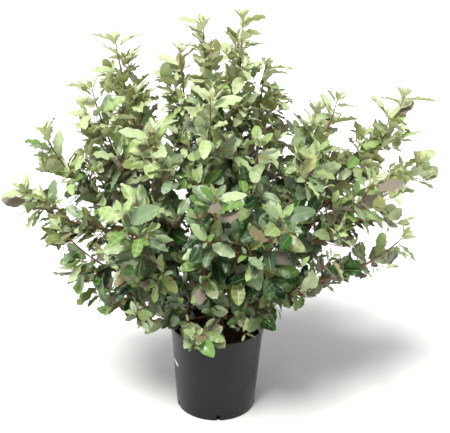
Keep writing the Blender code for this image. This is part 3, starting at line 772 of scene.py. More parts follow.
# %% Shape the leaves
STATIONS = np.array([0.0, 0.08, 0.20, 0.33, 0.46, 0.59, 0.72, 0.84, 0.94, 1.0])
COLUMNS = np.array([-1.0, -0.52, -0.035, 0.035, 0.52, 1.0])
STALK = 0.12
LEAF_THICKNESS = 0.009
VEIN_SLANT = 0.26
VEIN_DEPTH, VEINS_END = 0.014, 0.9
RIB_HALF, EDGE_THINNER = 0.1, 0.3
END_WIDTH = 0.03
EDGE_WAVE = 0.05
FACE_WAVE = 0.30
RISE_TO_WIDEST, FALL_FROM_WIDEST = 0.58, 0.76
WAVES, UNEVEN = (2.2, 3.6), 0.3
STALK_RINGS, STALK_LOWER = ((0.0, 0.011), (STALK + 0.05, 0.009)), 0.006


def leaf_outline(share, fullness):
    """Half the leaf's width at a share of its length, as a share of its widest half width."""
    rise, fall = RISE_TO_WIDEST, FALL_FROM_WIDEST / fullness
    peak = rise / (rise + fall)
    widest = peak**rise * (1 - peak) ** fall
    return share**rise * (1 - share) ** fall / widest


def leaf_form(rng, width, fold, arch, wave, fullness, twist):
    """The points of a leaf of length 1 along +X: its top, its underside and its stalk."""
    waves = rng.uniform(*WAVES)
    phases = [rng.uniform(0, math.tau) for _ in range(4)]
    top = np.zeros((len(STATIONS), len(COLUMNS), 3))
    for row, share in enumerate(STATIONS):
        half = width / 2 * max(leaf_outline(share, fullness), END_WIDTH)
        vein = VEIN_DEPTH * (-1) ** row * (0 < share < VEINS_END)
        for column, v in enumerate(COLUMNS):
            side, beat = int(v > 0), math.tau * waves * share
            swing = math.sin(beat + phases[side]) + rng.uniform(-UNEVEN, UNEVEN)
            lift = math.sin(beat + phases[2 + side]) + rng.uniform(-UNEVEN, UNEVEN)
            y = half * v * (1 + EDGE_WAVE * wave * swing * (abs(v) == 1))
            z = fold * half * abs(v) + FACE_WAVE * wave * lift * v * v * half
            z += vein * (abs(v) > RIB_HALF)
            x = share + VEIN_SLANT * abs(v) * share * (1 - share)
            top[row, column] = (x, y, z - arch * x**2)
    turn = twist * top[..., 0]
    y, z = top[..., 1].copy(), top[..., 2].copy()
    top[..., 1] = y * np.cos(turn) - z * np.sin(turn)
    top[..., 2] = y * np.sin(turn) + z * np.cos(turn)
    back = np.stack([top[:, 0], top[:, 1], top[:, 2:4].mean(1), top[:, 4], top[:, 5]], 1)
    back[:, 1:-1, 2] -= LEAF_THICKNESS
    back[:, (0, -1), 2] -= LEAF_THICKNESS * EDGE_THINNER
    stalk = np.zeros((2, 3, 3))
    for ring, (x, thick) in enumerate(STALK_RINGS):
        for k in range(3):
            angle = math.tau * k / 3
            stalk[ring, k] = (x, thick * math.cos(angle), thick * math.sin(angle) - STALK_LOWER)
    top[..., 0] += STALK
    back[..., 0] += STALK
    return np.concatenate([top.reshape(-1, 3), back.reshape(-1, 3), stalk.reshape(-1, 3)])


# %% Lay out a leaf's faces and make its forms
TOP, STREAK, RIB, BACK, STEM = range(5)
MATURE_FORM_COUNT, YOUNG_FORM_COUNT = 14, 6
NARROWEST, WIDER_EACH = 0.41, 0.016
MATURE_SPANS = ((0.0, 0.48), (-0.02, 0.24), (0.5, 1.0), (0.82, 1.25), (-0.5, 0.5))
YOUNG_SPANS = ((0.40, 0.50), (0.25, 0.6), (-0.12, 0.12), (0.4, 1.0), (0.7, 1.0), (-0.3, 0.3))


def halves(faces):
    """Each quad as two triangles, always split along the same diagonal."""
    return [half for a, b, c, d in faces for half in ((a, b, c), (a, c, d))]


def leaf_layout():
    """The triangles that all leaves share, and what each of them is part of."""
    rows, columns = len(STATIONS), len(COLUMNS)
    top = halves(grid_faces(columns, rows))
    back = [half[::-1] for half in halves(grid_faces(columns - 1, rows, rows * columns))]
    first = rows * (2 * columns - 1)
    sides = [
        (first + k, first + (k + 1) % 3, first + 3 + (k + 1) % 3, first + 3 + k) for k in range(3)
    ]
    parts = []
    for row in range(rows - 1):
        blade = STREAK if row % 2 else TOP
        parts += [part for part in (blade, blade, RIB, blade, blade) for _ in range(2)]
    parts += [BACK] * len(back) + [STEM] * 6
    return np.array(top + back + halves(sides))[:, ::-1], np.array(parts)


def drawn(rng, spans):
    """One value from each span: the fold, arch, wave, fullness and twist, after any width."""
    return [rng.uniform(*span) for span in spans]


LEAF_FACES, LEAF_PARTS = leaf_layout()
rng = random.Random(21)
MATURE_FORMS = [
    leaf_form(rng, NARROWEST + WIDER_EACH * index, *drawn(rng, MATURE_SPANS))
    for index in range(MATURE_FORM_COUNT)
]
YOUNG_FORMS = [leaf_form(rng, *drawn(rng, YOUNG_SPANS)) for _ in range(YOUNG_FORM_COUNT)]
FORMS = np.array(MATURE_FORMS + YOUNG_FORMS)
YOUNG_FIRST = len(MATURE_FORMS)
print("leaf faces:", len(LEAF_FACES), "forms:", len(FORMS))

# %% [markdown]
# ## Leaf colours
# The newest leaves are creamy yellow-green, the outer ones fresh or sage green with a silver
# bloom, and those inside and below grey- to blue-green, darker partly with age and partly as
# painted shade. One noise over the whole crown would cut through leaves, while on the plant each
# spray has an age and a place of its own. So every tone is a plain paint, in order from young to
# old and from light to dark, and each spray is dealt its share of them.
# Each tone has a slightly paler twin for the streaks between the veins of every second leaf.

# %% Mix the leaf paints
# The lighter tones stand partly for young leaves and partly for painted light; the darker ones, down to
# shade, partly for old leaves and partly for painted shade.
TONES = (
    ("cream", (194, 199, 150)), ("lime", (184, 196, 146)), ("fresh", (180, 195, 148)),
    ("apple", (164, 186, 126)), ("bright", (144, 168, 102)), ("sage", (148, 166, 122)),
    ("leaf", (106, 140, 72)), ("dusty", (122, 144, 108)), ("olive", (116, 129, 72)),
    ("grey", (92, 114, 82)), ("deep", (45, 90, 29)), ("blue", (66, 92, 70)),
    ("shade", (34, 62, 26)),
)
# The silver, bronze and pale undersides, dealt high in the crown, are partly the real silvery scales
# and partly painted light that shines through the leaf.
BACKS = (
    ("silver", (200, 204, 174)), ("bronze", (186, 186, 128)), ("mauve", (128, 119, 106)),
    ("ash", (122, 131, 108)), ("tan", (136, 128, 96)), ("pale", (210, 214, 166)),
)
SILVER, BRONZE, MAUVE, ASH, TAN, PALE = range(6)
GLOSSY = ("leaf", "olive", "deep", "blue", "shade")
GLOSSY_ROUGHNESS, DULL_ROUGHNESS = 0.29, 0.40
STREAK_ROUGHNESS, RIB_ROUGHNESS, BACK_ROUGHNESS, STALK_ROUGHNESS = 0.46, 0.5, 0.6, 0.6
BLOOM = (206, 216, 190)
STREAK_BLOOM = 0.16


def leaf_paint(name, colour, roughness):
    paint = finish_of(
        name, colour, roughness, Specular_IOR_Level=0.5, Sheen_Weight=0.08, Sheen_Roughness=0.45,
    )
    shader_of(paint).inputs["Sheen Tint"].default_value = (0.95, 1.0, 0.93, 1.0)
    roughened(paint, 700.0, 0.15, 0.0004, detail=2.0)
    return paint


paints = []
for name, colour in TONES:
    roughness = GLOSSY_ROUGHNESS if name in GLOSSY else DULL_ROUGHNESS
    paints.append(leaf_paint(f"leaf_{name}", colour, roughness))
for name, colour in TONES:
    streak = [c + (b - c) * STREAK_BLOOM for c, b in zip(colour, BLOOM)]
    paints.append(leaf_paint(f"streak_{name}", streak, STREAK_ROUGHNESS))
for name, colour in BACKS:
    paints.append(leaf_paint(f"back_{name}", colour, BACK_ROUGHNESS))
paints.append(leaf_paint("rib_pale", (196, 206, 140), RIB_ROUGHNESS))
paints.append(leaf_paint("rib_green", (134, 158, 102), RIB_ROUGHNESS))
paints.append(leaf_paint("stalk_russet", (164, 112, 66), STALK_ROUGHNESS))
STREAK_FIRST = len(TONES)
BACK_FIRST = 2 * len(TONES)
RIB_PALE = BACK_FIRST + len(BACKS)
RIB_GREEN, STALK_RUSSET = RIB_PALE + 1, RIB_PALE + 2
print("paints:", len(paints))

# %% [markdown]
# ## Room for every shoot
# Two shoots don't grow through each other. The part's masses each keep to their own space: a
# place belongs to the shoot whose leader runs nearest. The twigs and leaves here keep to the
# same spaces and the same reach. They also stay off the pot, within a little of the part's own
# box, above a foot of the crown that rises outwards, and out of a wedge of sky at the far
# right, where the photograph has one. A set of small cells that remembers where leaves already
# lie keeps them off each other: it is quick, and close enough for things so thin.

# %% Keep the spaces of the shoots
MASS_RADIUS = 0.175
SPACE_OVERLAP = 0.004


class Spaces:
    """Which shoot a place belongs to: the one whose leader runs nearest, within its reach."""

    def __init__(self, shoots):
        self.names = list(shoots)
        lines = [along(s.curve, s.limb_share, 1, 9) for s in shoots.values()]
        self.starts = np.array([[list(p) for p in line[:-1]] for line in lines])
        self.ways = np.array([[list(p) for p in line[1:]] for line in lines]) - self.starts
        self.squares = (self.ways**2).sum(-1)

    def holds(self, name, places):
        places = np.array([list(p) for p in places])
        offset = places[:, None, None, :] - self.starts[None]
        share = np.clip((offset * self.ways[None]).sum(-1) / self.squares[None], 0, 1)
        apart = np.linalg.norm(offset - self.ways[None] * share[..., None], axis=-1).min(-1)
        own = self.names.index(name)
        others = np.delete(apart, own, axis=1).min(axis=1)
        inside = apart[:, own] < MASS_RADIUS
        return bool((inside & (apart[:, own] < others + SPACE_OVERLAP)).all())


spaces = Spaces(shoots)
print("spaces:", len(spaces.names))

# %% Keep the limits of the crown
POT_KEEP_OUT = 0.004
LEAF_CELL = 0.0070
BOX_SLACK = 0.030
CROWN_LOWEST = 0.280
MIDDLE_LOWER = 0.018
OVER_THE_RIM = ((-0.085, -0.010, 0.238), (0.035, 0.125, 0.286), (-0.11, 0.11, 0.272))
RIM_RISE, RIM_RISE_FROM = 0.2, 0.16
FRONT_RISE = 0.36
BACK_RISE, BACK_RISE_FROM = 0.25, 0.20
RIGHT_STEP, RIGHT_RISE, RIGHT_FROM = 0.06, 0.42, 0.19
LEFT_RISE, LEFT_RISE_FROM, LEFT_FROM = 0.30, 0.28, 0.24
NOTCH_APEX = (0.40, 0.650)
NOTCH_RISE = 0.12
NOTCH_OPENING = 0.26


def in_pot(place):
    low = place.z < POT_HEIGHT + POT_KEEP_OUT
    share = clamped(place.z / POT_HEIGHT)
    wall = POT_BASE_RADIUS + (POT_RIM_RADIUS - POT_BASE_RADIUS) * share
    return low and math.hypot(place.x, place.y) < wall + POT_KEEP_OUT


def past_the_box(place):
    """Beyond the part's own box by more than a little."""
    return any(
        value < low - BOX_SLACK or value > high + BOX_SLACK
        for value, low, high in zip(place, *cad_box)
    )


def hangs_too_low(place):
    """Below the crown's foot: it rises outwards and forwards, but hangs over the pot in front."""
    ahead = max(-place.y, 0.0)
    for left_end, right_end, lowest in OVER_THE_RIM:
        if ahead and left_end < place.x < right_end:
            return place.z < lowest + RIM_RISE * max(ahead - RIM_RISE_FROM, 0.0)
    right, left = 0.0, -MIDDLE_LOWER
    if place.x > RIGHT_FROM:
        right = RIGHT_STEP + RIGHT_RISE * (place.x - RIGHT_FROM)
    if place.x < -LEFT_FROM:
        left = LEFT_RISE * max(-place.x - LEFT_RISE_FROM, 0.0)
    behind = BACK_RISE * max(place.y - BACK_RISE_FROM, 0.0)
    return place.z < CROWN_LOWEST + FRONT_RISE * ahead + right + left + behind


def in_the_notch(place):
    """In the open wedge of sky between the upper and the lower boughs at the far right."""
    out = place.x - NOTCH_APEX[0]
    return out > 0 and abs(place.z - NOTCH_APEX[1] - NOTCH_RISE * out) < NOTCH_OPENING * out


def cell_of(place):
    return (int(place.x // LEAF_CELL), int(place.y // LEAF_CELL), int(place.z // LEAF_CELL))


taken = set()

# %% [markdown]
# ## Directions and light
# The rule of growth is the one that made the solids: a leader carries leaves in a spiral of
# 137.5 degrees, some of its joints send out side twigs, the twigs carry leaves in the same
# spiral, and each ends in a tuft. The solids had to stop there. Here the joints are at their
# real spacing. First come the directions: a leaf leaves its axis at a tilt and turns its face
# to the light, which comes from above at the crown's top, and more from outside lower down.

# %% Find the directions of twigs and leaves
TURN = math.radians(137.5)
CROWN_FOOT, CROWN_TOP = 0.30, 1.10
LIGHT_FROM_ABOVE = (0.45, 1.0)
LIGHT_FROM_OUTSIDE = (0.9, 0.20)
LEAF_STRAY = 0.42
LEVEL_AT_TOP = 0.45


def ring_directions(axis):
    level = axis.cross(UP)
    level = level.normalized() if level.length > 0.001 else Vector((1, 0, 0))
    return level, axis.cross(level).normalized()


def out_at(axis, angle, tilt):
    """A direction that leaves an axis at a tilt, on the side that the angle gives."""
    level, up = ring_directions(axis)
    side = level * math.cos(angle) + up * math.sin(angle)
    return (axis * math.cos(tilt) + side * math.sin(tilt)).normalized()


def crown_share(place):
    """How high a place is in the crown: 0 at its foot and 1 at its top."""
    return clamped((place.z - CROWN_FOOT) / (CROWN_TOP - CROWN_FOOT))


def leaf_turn(root, direction, rng):
    """A leaf's three directions: along it, across it, and up from its upper face."""
    outward = Vector((root.x, root.y, 0.0)).normalized()
    high = crown_share(root)
    stray = Vector([rng.uniform(-1, 1) for _ in range(3)]) * LEAF_STRAY * (1 - LEVEL_AT_TOP * high)
    above, outside = (
        low + (top - low) * high for low, top in (LIGHT_FROM_ABOVE, LIGHT_FROM_OUTSIDE)
    )
    light = UP * above + outward * outside + stray
    across = light.cross(direction).normalized()
    return Matrix((direction, across, direction.cross(across).normalized())).transposed()


# %% [markdown]
# ## How a spray looks
# The leaves of one spray are alike, while sprays differ. So a spray gets one mark of how young
# and bright it is: by its height, by how far outside it is, and by chance. The lighter paints
# high up and outside are partly the spray's age and partly painted light, and the darker ones
# deep inside the crown are painted shade. Its leaves take their size and their paints from that
# mark, with more variety low in the crown. A table paints whole masses darker or lighter than
# their place gives, as painted shade and painted light, where the photograph has them so. Growth
# and paints have dice of their own, so a change of colours moves no leaf.

# %% Deal sizes, forms and paints to a spray
# Exposure and height set the mark: lighter paints high and outside are partly painted light, darker
# paints deep inside are painted shade.
CROWN_MIDDLE, CROWN_RADII = (0.0, 0.0, 0.62), (0.58, 0.62, 0.54)
EXPOSED_FROM, EXPOSED_SPAN, MOST_EXPOSED = 0.35, 0.6, 1.1
HIGH_WEIGHT, EXPOSED_WEIGHT, SPRAY_STRAY = 0.62, 0.38, 0.16
LEAF_LONGEST = 0.090
LEAST_SHARE, SPRAY_SHARE, SPRAY_START = 0.66, 0.34, 0.25
TOP_LEAF_SHORTER, SHORTER_FROM, SHORTER_SPAN = 0.18, 0.8, 0.35
NARROW_AT_TOP = 0.5
YOUNG_MARK, YOUNG_STRAY = 7.4, 0.9
MATURE_MARK, MATURE_FALL = 11.2, 10.8
MATURE_STRAY, STRAY_FALL = 3.4, 2.2
NO_LIME_SHARE = 0.8
PALE_RIB_TONES, PALE_RIB_SHARE = 5, 0.40
PALE_ABOVE, BRIGHT_ABOVE = 0.45, 0.5
SILVERY_AND_LIT_BACKS = (SILVER, BRONZE, BRONZE, PALE)
DULL_BACKS = (MAUVE, MAUVE, ASH)
TURNED_BACKS = (MAUVE, ASH, TAN)
# Painted shade and light for whole sprays: a positive number paints a spray's leaves darker, as painted
# shade, and a negative one paints them lighter, as painted light.
SPRAY_PAINTED_SHADE_AND_LIGHT = {
    "top": -1.9, "top_left": -1.2, "top_back_left": -1.8, "top_right": -1.3, "front_top": -1.3,
    "front": 2.4, "front_left": 1.2, "front_right": 2.0, "front_mid": -0.6, "left_mid": -0.2,
    "right_mid": 0.6, "left_top": -0.3, "far_left": -0.9, "far_left_low": -0.7,
    "far_left_front": -0.6, "front_left_high": -0.7, "front_right_low": -1.6,
    "front_low": -2.4, "front_left_low": -2.6, "front_right_foot": -3.0, "far_left_droop": -0.7,
}


class Looks:
    """A shoot's dice, and what its leaves look like by their place and by chance."""

    def __init__(self, shoot, seed):
        self.shoot = shoot
        self.dice, self.paint_dice = random.Random(seed), random.Random(seed)
        self.painted_shade_and_light = SPRAY_PAINTED_SHADE_AND_LIGHT.get(shoot.name, 0.0)
        self.twigs, self.leaves = [], []

    def spray_tone(self, place):
        """How light and young a spray looks: more so at the top and the outside of the crown, partly by
        age and partly as painted light, and darker deep inside the crown as painted shade.
        """
        outside = Vector([(p - c) / r for p, c, r in zip(place, CROWN_MIDDLE, CROWN_RADII)]).length
        exposed = clamped((outside - EXPOSED_FROM) / EXPOSED_SPAN, MOST_EXPOSED)
        chance = self.dice.uniform(-SPRAY_STRAY, SPRAY_STRAY)
        return HIGH_WEIGHT * crown_share(place) + EXPOSED_WEIGHT * exposed + chance

    def leaf_size(self, spray, place):
        shorter = TOP_LEAF_SHORTER * clamped((place.z - SHORTER_FROM) / SHORTER_SPAN)
        share = LEAST_SHARE + SPRAY_SHARE * clamped(spray + SPRAY_START)
        return LEAF_LONGEST * share * (1 - shorter)

    def pick_form(self, root, young):
        """A young form for a tuft, or else a mature one: the narrower ones high in the crown."""
        if young:
            return self.dice.randrange(YOUNG_FIRST, len(FORMS))
        return int(self.dice.random() * YOUNG_FIRST * (1 - NARROW_AT_TOP * crown_share(root)))

    def pick_tone(self, spray, young):
        """The place of a paint in the row of tones; cream is for young leaves alone."""
        if young:
            mark = YOUNG_MARK - YOUNG_MARK * spray + self.paint_dice.gauss(0, YOUNG_STRAY)
            return self.tone_at(mark, 0)
        stray = self.paint_dice.gauss(0, MATURE_STRAY - STRAY_FALL * spray)
        mark = MATURE_MARK - MATURE_FALL * spray + stray
        return self.tone_at(mark, 1 + (self.paint_dice.random() < NO_LIME_SHARE))

    def tone_at(self, mark, youngest):
        return int(clamped(round(mark + self.painted_shade_and_light), len(TONES) - 1, youngest))

    def pick_back(self, spray, young, over):
        """The underside's paint: lighter high in the crown, partly its real silver and partly painted
        light that shines through the leaf, and duller where the leaf lies turned over or low in the
        crown.
        """
        if young:
            return PALE if spray > PALE_ABOVE else ASH
        if over:
            return self.paint_dice.choice(TURNED_BACKS)
        return self.paint_dice.choice(SILVERY_AND_LIT_BACKS if spray > BRIGHT_ABOVE else DULL_BACKS)

    def pick_paints(self, spray, young, over):
        """The paints of the top, the underside and the midrib."""
        tone = self.pick_tone(spray, young)
        back = self.pick_back(spray, young, over)
        pale = tone < PALE_RIB_TONES or self.paint_dice.random() < PALE_RIB_SHARE
        return tone, back, RIB_PALE if pale else RIB_GREEN


# %% [markdown]
# ## Leaves on a twig
# A leaf is tried at its joint, and fits if a few places on it are free: in its shoot's space,
# off the pot, inside the crown's outline and not in a cell that another leaf has. One that
# doesn't fit is tried again a little smaller and steeper on other sides, and after a few tries
# the joint stays bare, as an old one often is.

# %% Lay the leaves on their joints
PROBES_ALONG, WIDEST_AT, PROBES_ACROSS = (0.45, 0.8, 1.12), 0.62, (-0.24, 0.24)
LEAF_ANGLE, LEAF_TILTS = math.radians(68), (0.8, 1.15)
YOUNG_ANGLE = math.radians(42)
LOW_DROOP, DROOP_FALL = 0.34, 1.3
TURNED_OVER = 0.20
LEAF_TRIES, NEXT_SIDE = 5, 2.1
STEEPER_EACH, SMALLER_EACH = 0.1, 0.07
TUFT_SMALLEST, TUFT_LARGER, TUFT_STEP = 0.28, 0.4, 0.005
LEAF_SIZES, SMALLER_TO_END = (0.85, 1.1), 0.2
FULL_TUFT_ABOVE = 0.55


class Leafing(Looks):
    """Puts leaves on lines, each where it finds room."""

    def fits(self, root, turn, size):
        along_leaf, across = turn.col[0], turn.col[1]
        middle = [root + along_leaf * size * share for share in PROBES_ALONG]
        widest = root + along_leaf * size * WIDEST_AT
        places = middle + [widest + across * size * side for side in PROBES_ACROSS]
        limits = (in_pot, hangs_too_low, past_the_box, in_the_notch)
        if any(crosses(place) for place in places for crosses in limits):
            return False
        cells = [cell_of(place) for place in places]
        if any(cell in taken for cell in cells) or not spaces.holds(self.shoot.name, places):
            return False
        taken.update(cells)
        return True

    def try_leaf(self, root, axis, angle, size, spray, young=False):
        """Tries a leaf, then smaller and steeper ones on other sides, or leaves the joint bare."""
        tilt = YOUNG_ANGLE if young else LEAF_ANGLE * self.dice.uniform(*LEAF_TILTS)
        droop = 0.0 if young else LOW_DROOP * (1 - clamped(spray * DROOP_FALL))
        for attempt in range(LEAF_TRIES):
            steeper = tilt * (1 - STEEPER_EACH * attempt)
            direction = out_at(axis, angle + attempt * NEXT_SIDE, steeper)
            direction = (direction - UP * droop).normalized()
            length = size * (1 - SMALLER_EACH * attempt)
            turn = leaf_turn(root, direction, self.dice)
            over = not young and self.dice.random() < TURNED_OVER * (1 - crown_share(root))
            if over:
                turn = turn @ Matrix.Rotation(math.pi, 3, "X")
            if self.fits(root, turn, length):
                form = self.pick_form(root, young)
                looks = self.pick_paints(spray, young, over)
                self.leaves.append((root, turn, length, form, *looks))
                return

    def tuft(self, line, angle, size, spray, count):
        """The small young leaves round the bud at the end of a line."""
        tip, axis = line[-1], (line[-1] - line[-2]).normalized()
        for index in range(count):
            share = TUFT_SMALLEST + TUFT_LARGER * index / count
            self.try_leaf(tip - axis * TUFT_STEP * index, axis, angle, size * share, spray, True)
            angle += TURN

    def dress(self, line, spacing, first, size, spray):
        """Leaves in a spiral along a twig, smaller towards its end, and a tuft on it."""
        length = length_of(line)
        angle = self.dice.uniform(0, math.tau)
        count = max(1, int((length - first) / spacing))
        for index in range(count):
            share = (first + (index + 0.5) * (length - first) / count) / length
            root, axis = place_on(line, share)
            full = size * self.dice.uniform(*LEAF_SIZES) * (1 - SMALLER_TO_END * share)
            self.try_leaf(root, axis, angle, full, spray)
            angle += TURN
        self.tuft(line, angle, size, spray, 3 if spray > FULL_TUFT_ABOVE else 2)


# %% [markdown]
# ## Side twigs
# A side twig is a line of a few points that turns up a little and stays in its shoot's space.
# Long twigs branch once more before they get their leaves. A twig that finds no room for a
# single leaf is taken off again, since a bare one looks broken.

# %% Grow side twigs
TWIG_SPACING, CLOSER_AT_TOP = 0.017, 0.28
TWIG_LENGTHS, TWIG_LEAST = (0.85, 1.15), 0.028
TWIG_ANGLE, TWIG_TURN_UP, TWIG_STRAY, TWIG_STEPS = math.radians(50), 0.35, 0.06, 5
TWIG_THINNER, TWIG_THINNEST = 0.45, 0.0009
TWIG_TRIES, SHORTER_EACH = 4, 0.18
TWIG_FIRST_LEAF = 0.010
LEAF_OF_TWIG = (0.96, 0.86)
BRANCHES_FROM, SUB_TWIGS_AT = 0.055, (0.3, 0.55)
SUB_TWIG_SHARE, SUB_TWIG_THINNER = 0.42, 0.7


class Twigging(Leafing):
    """Puts side twigs on lines, each with its leaves."""

    def add_twig(self, start, direction, length, radius, finish):
        """A twig of a few points that turns up a little: its line, or None without room."""
        line, way = [start], direction
        for _ in range(TWIG_STEPS):
            line.append(line[-1] + way * length / TWIG_STEPS)
            stray = Vector([self.dice.uniform(-TWIG_STRAY, TWIG_STRAY) for _ in range(3)])
            way = (way + UP * TWIG_TURN_UP / TWIG_STEPS + stray).normalized()
        if any(in_pot(p) for p in line) or hangs_too_low(line[-1]):
            return None
        if not spaces.holds(self.shoot.name, line[2:]):
            return None
        radii = [
            max(radius * (1 - TWIG_THINNER * i / TWIG_STEPS), TWIG_THINNEST)
            for i in range(TWIG_STEPS + 1)
        ]
        self.twigs.append((line, radii, finish))
        return line

    def side_twig(self, root, axis, angle, length, radius, depth):
        """A side twig with its own twigs and leaves; one that stays without a leaf is taken off."""
        length *= self.dice.uniform(*TWIG_LENGTHS)
        twigs_before, leaves_before = len(self.twigs), len(self.leaves)
        for attempt in range(TWIG_TRIES):
            size = length * (1 - SHORTER_EACH * attempt)
            if size < TWIG_LEAST:
                return
            direction = out_at(axis, angle + attempt * NEXT_SIDE, TWIG_ANGLE)
            line = self.add_twig(root, direction, size, radius, 1 + depth)
            if line:
                break
        else:
            return
        spray = self.spray_tone(line[-1])
        size = self.leaf_size(spray, line[-1]) * LEAF_OF_TWIG[depth]
        if depth == 0 and length_of(line) > BRANCHES_FROM:
            shorter, thinner = length * SUB_TWIG_SHARE, radius * SUB_TWIG_THINNER
            for index, share in enumerate(SUB_TWIGS_AT):
                at, way = place_on(line, share)
                self.side_twig(at, way, angle + (index + 1) * TURN, shorter, thinner, 1)
        spacing = TWIG_SPACING * (1 - CLOSER_AT_TOP * crown_share(line[0]))
        self.dress(line, spacing, TWIG_FIRST_LEAF, size, spray)
        if len(self.leaves) == leaves_before:
            del self.twigs[twigs_before:]


# %% [markdown]
# ## Leaders
# Every second joint of a leader sends out a side twig, shorter towards the leader's end, and
# every joint tries a leaf. The leader runs on past the solid's tip by its newest growth,
# furthest at the top of the crown. The end of a bare limb is clothed in the same way, so that
# the foliage doesn't start with a sharp edge. One starting number serves the dice of all
# shoots: each adds its place in the plan, so it grows its own way, and the same way every time.

# %% Clothe the leaders
NODE_SPACING = 0.021
TWIG_EVERY, TWIGS_END = 2, 0.80
TWIG_LONGEST, TWIG_SHARE_LONGEST, TWIG_TAPER = 0.140, 0.44, 0.75
TWIG_OF_LEADER, LEADER_THINNING = 0.62, 0.4
LEADER_STEP, LEADER_WIDER = 0.012, 0.0005
TIP_GROWTH, TIP_STEPS, TIP_TURN_UP = (0.030, 0.058), 3, 0.12
NEW_WOOD, NEW_WOOD_THINNER = 0.9, 0.1
JOINT_SIZES, JOINT_START, JOINT_FALL, YOUNGER_TO_TIP = (0.9, 1.1), 1.06, 0.16, 0.1
BARE_AT_LIMB, BARE_AT_TRUNK = 0.01, 0.06
LIMB_LEAFY, LIMB_LEAFY_SHARE = 0.14, 0.7
END_TUFT = 5


class Mass(Twigging):
    """The finished foliage of one shoot: its twigs, and the leaves with their paints."""

    def leader_line(self):
        """The leader from its limb's end to the solid's tip, and its newest growth past it."""
        shoot = self.shoot
        shares = finely(shoot.curve, shoot.limb_share, 1, LEADER_STEP)
        line = [cubic(shoot.curve, s) for s in shares]
        radii = [shoot.radius(s) + LEADER_WIDER for s in shares]
        way = (line[-1] - line[-2]).normalized()
        least, most = TIP_GROWTH
        growth = least + (most - least) * crown_share(line[-1]) ** 2
        for index in range(TIP_STEPS):
            way = (way + UP * TIP_TURN_UP).normalized()
            line.append(line[-1] + way * growth / TIP_STEPS)
            radii.append(RADIUS_AT_TIP * (NEW_WOOD - NEW_WOOD_THINNER * index))
        return line, radii

    def clothe(self, line, bare, taper, longest):
        """Side twigs at every second joint of a line, and a leaf tried at every joint."""
        length = length_of(line)
        angle = self.dice.uniform(0, math.tau)
        joints = []
        spacing = NODE_SPACING * (1 - CLOSER_AT_TOP * crown_share(line[len(line) // 2]))
        for index in range(int((length - bare) / spacing)):
            share = (bare + (index + 0.5) * spacing) / length
            joints.append((index, share, *place_on(line, share), angle + index * TURN))
        for index, share, root, axis, side in joints:
            if index % TWIG_EVERY == 0 and share < TWIGS_END:
                left = self.shoot.length * (1 - share)
                radius = RADIUS_AT_TIP + RADIUS_PER_METRE * left * LEADER_THINNING
                size = longest * (1 - TWIG_TAPER * taper * share)
                self.side_twig(root, axis, side, size, radius * TWIG_OF_LEADER, 0)
        for index, share, root, axis, side in joints:
            spray = self.spray_tone(root)
            size = self.leaf_size(spray, root) * self.dice.uniform(*JOINT_SIZES)
            size *= JOINT_START - JOINT_FALL * share
            self.try_leaf(root, axis, side, size, spray + YOUNGER_TO_TIP * share)

    def grow(self):
        """Clothes the end of the bare limb, then the leader, and ends it in a full tuft."""
        shoot = self.shoot
        line, radii = self.leader_line()
        self.twigs.append((line, radii, 0))
        bare = BARE_AT_LIMB if shoot.has_limb else BARE_AT_TRUNK
        if shoot.has_limb:
            back = min(LIMB_LEAFY / shoot.length, shoot.limb_share * LIMB_LEAFY_SHARE)
            limb = along(shoot.curve, shoot.limb_share - back, shoot.limb_share, 8)
            self.clothe(limb, 0.0, 0.0, min(TWIG_SHARE_LONGEST * LEADER_LENGTH, TWIG_LONGEST))
        self.clothe(line, bare, 1.0, min(TWIG_SHARE_LONGEST * length_of(line), TWIG_LONGEST))
        spray = self.spray_tone(line[-1])
        angle = self.dice.uniform(0, math.tau)
        self.tuft(line, angle, self.leaf_size(spray, line[-1]), spray, END_TUFT)


# %% Grow every mass in turn
FIRST_DICE = 401

masses = []
for index, shoot in enumerate(shoots.values()):
    mass = Mass(shoot, FIRST_DICE + index)
    mass.grow()
    masses.append(mass)
print("leaves:", sum(len(m.leaves) for m in masses), "twigs:", sum(len(m.twigs) for m in masses))

# %% [markdown]
# ## From a list to pieces
# Thousands of separate objects would slow everything down. All leaves have the same faces and
# differ only in where their points are, so one array turns, sizes and places the points of all
# leaves of a side of the crown at once, and the faces are repeated with an offset. Each side
# becomes one piece of leaves and one piece of twigs.

# %% Sort the masses by sides of the crown
SIDES = ("crest", "shoulder", "left", "right", "front", "back", "low")
CREST_FROM, SHOULDER_FROM, LOW_BELOW = 1.04, 1.0, 0.59
SIDE_SLOTS = {
    "crest": "leaf_pale_green", "shoulder": "leaf_pale_green", "left": "leaf_grey_green",
    "right": "leaf_grey_green", "front": "leaf_grey_green", "back": "leaf_cool_green",
    "low": "leaf_deep_green",
}


def side_of(shoot):
    """The side of the crown that a shoot belongs to, by its height and its azimuth."""
    if shoot.height >= SHOULDER_FROM:
        return "crest" if shoot.height >= CREST_FROM else "shoulder"
    if shoot.height < LOW_BELOW:
        return "low"
    quarter = round(((shoot.azimuth + 360) % 360) / 90) % 4
    return ("right", "back", "left", "front")[quarter]


by_side = {side: [m for m in masses if side_of(m.shoot) == side] for side in SIDES}
print("masses by side:", {side: len(own) for side, own in by_side.items()})


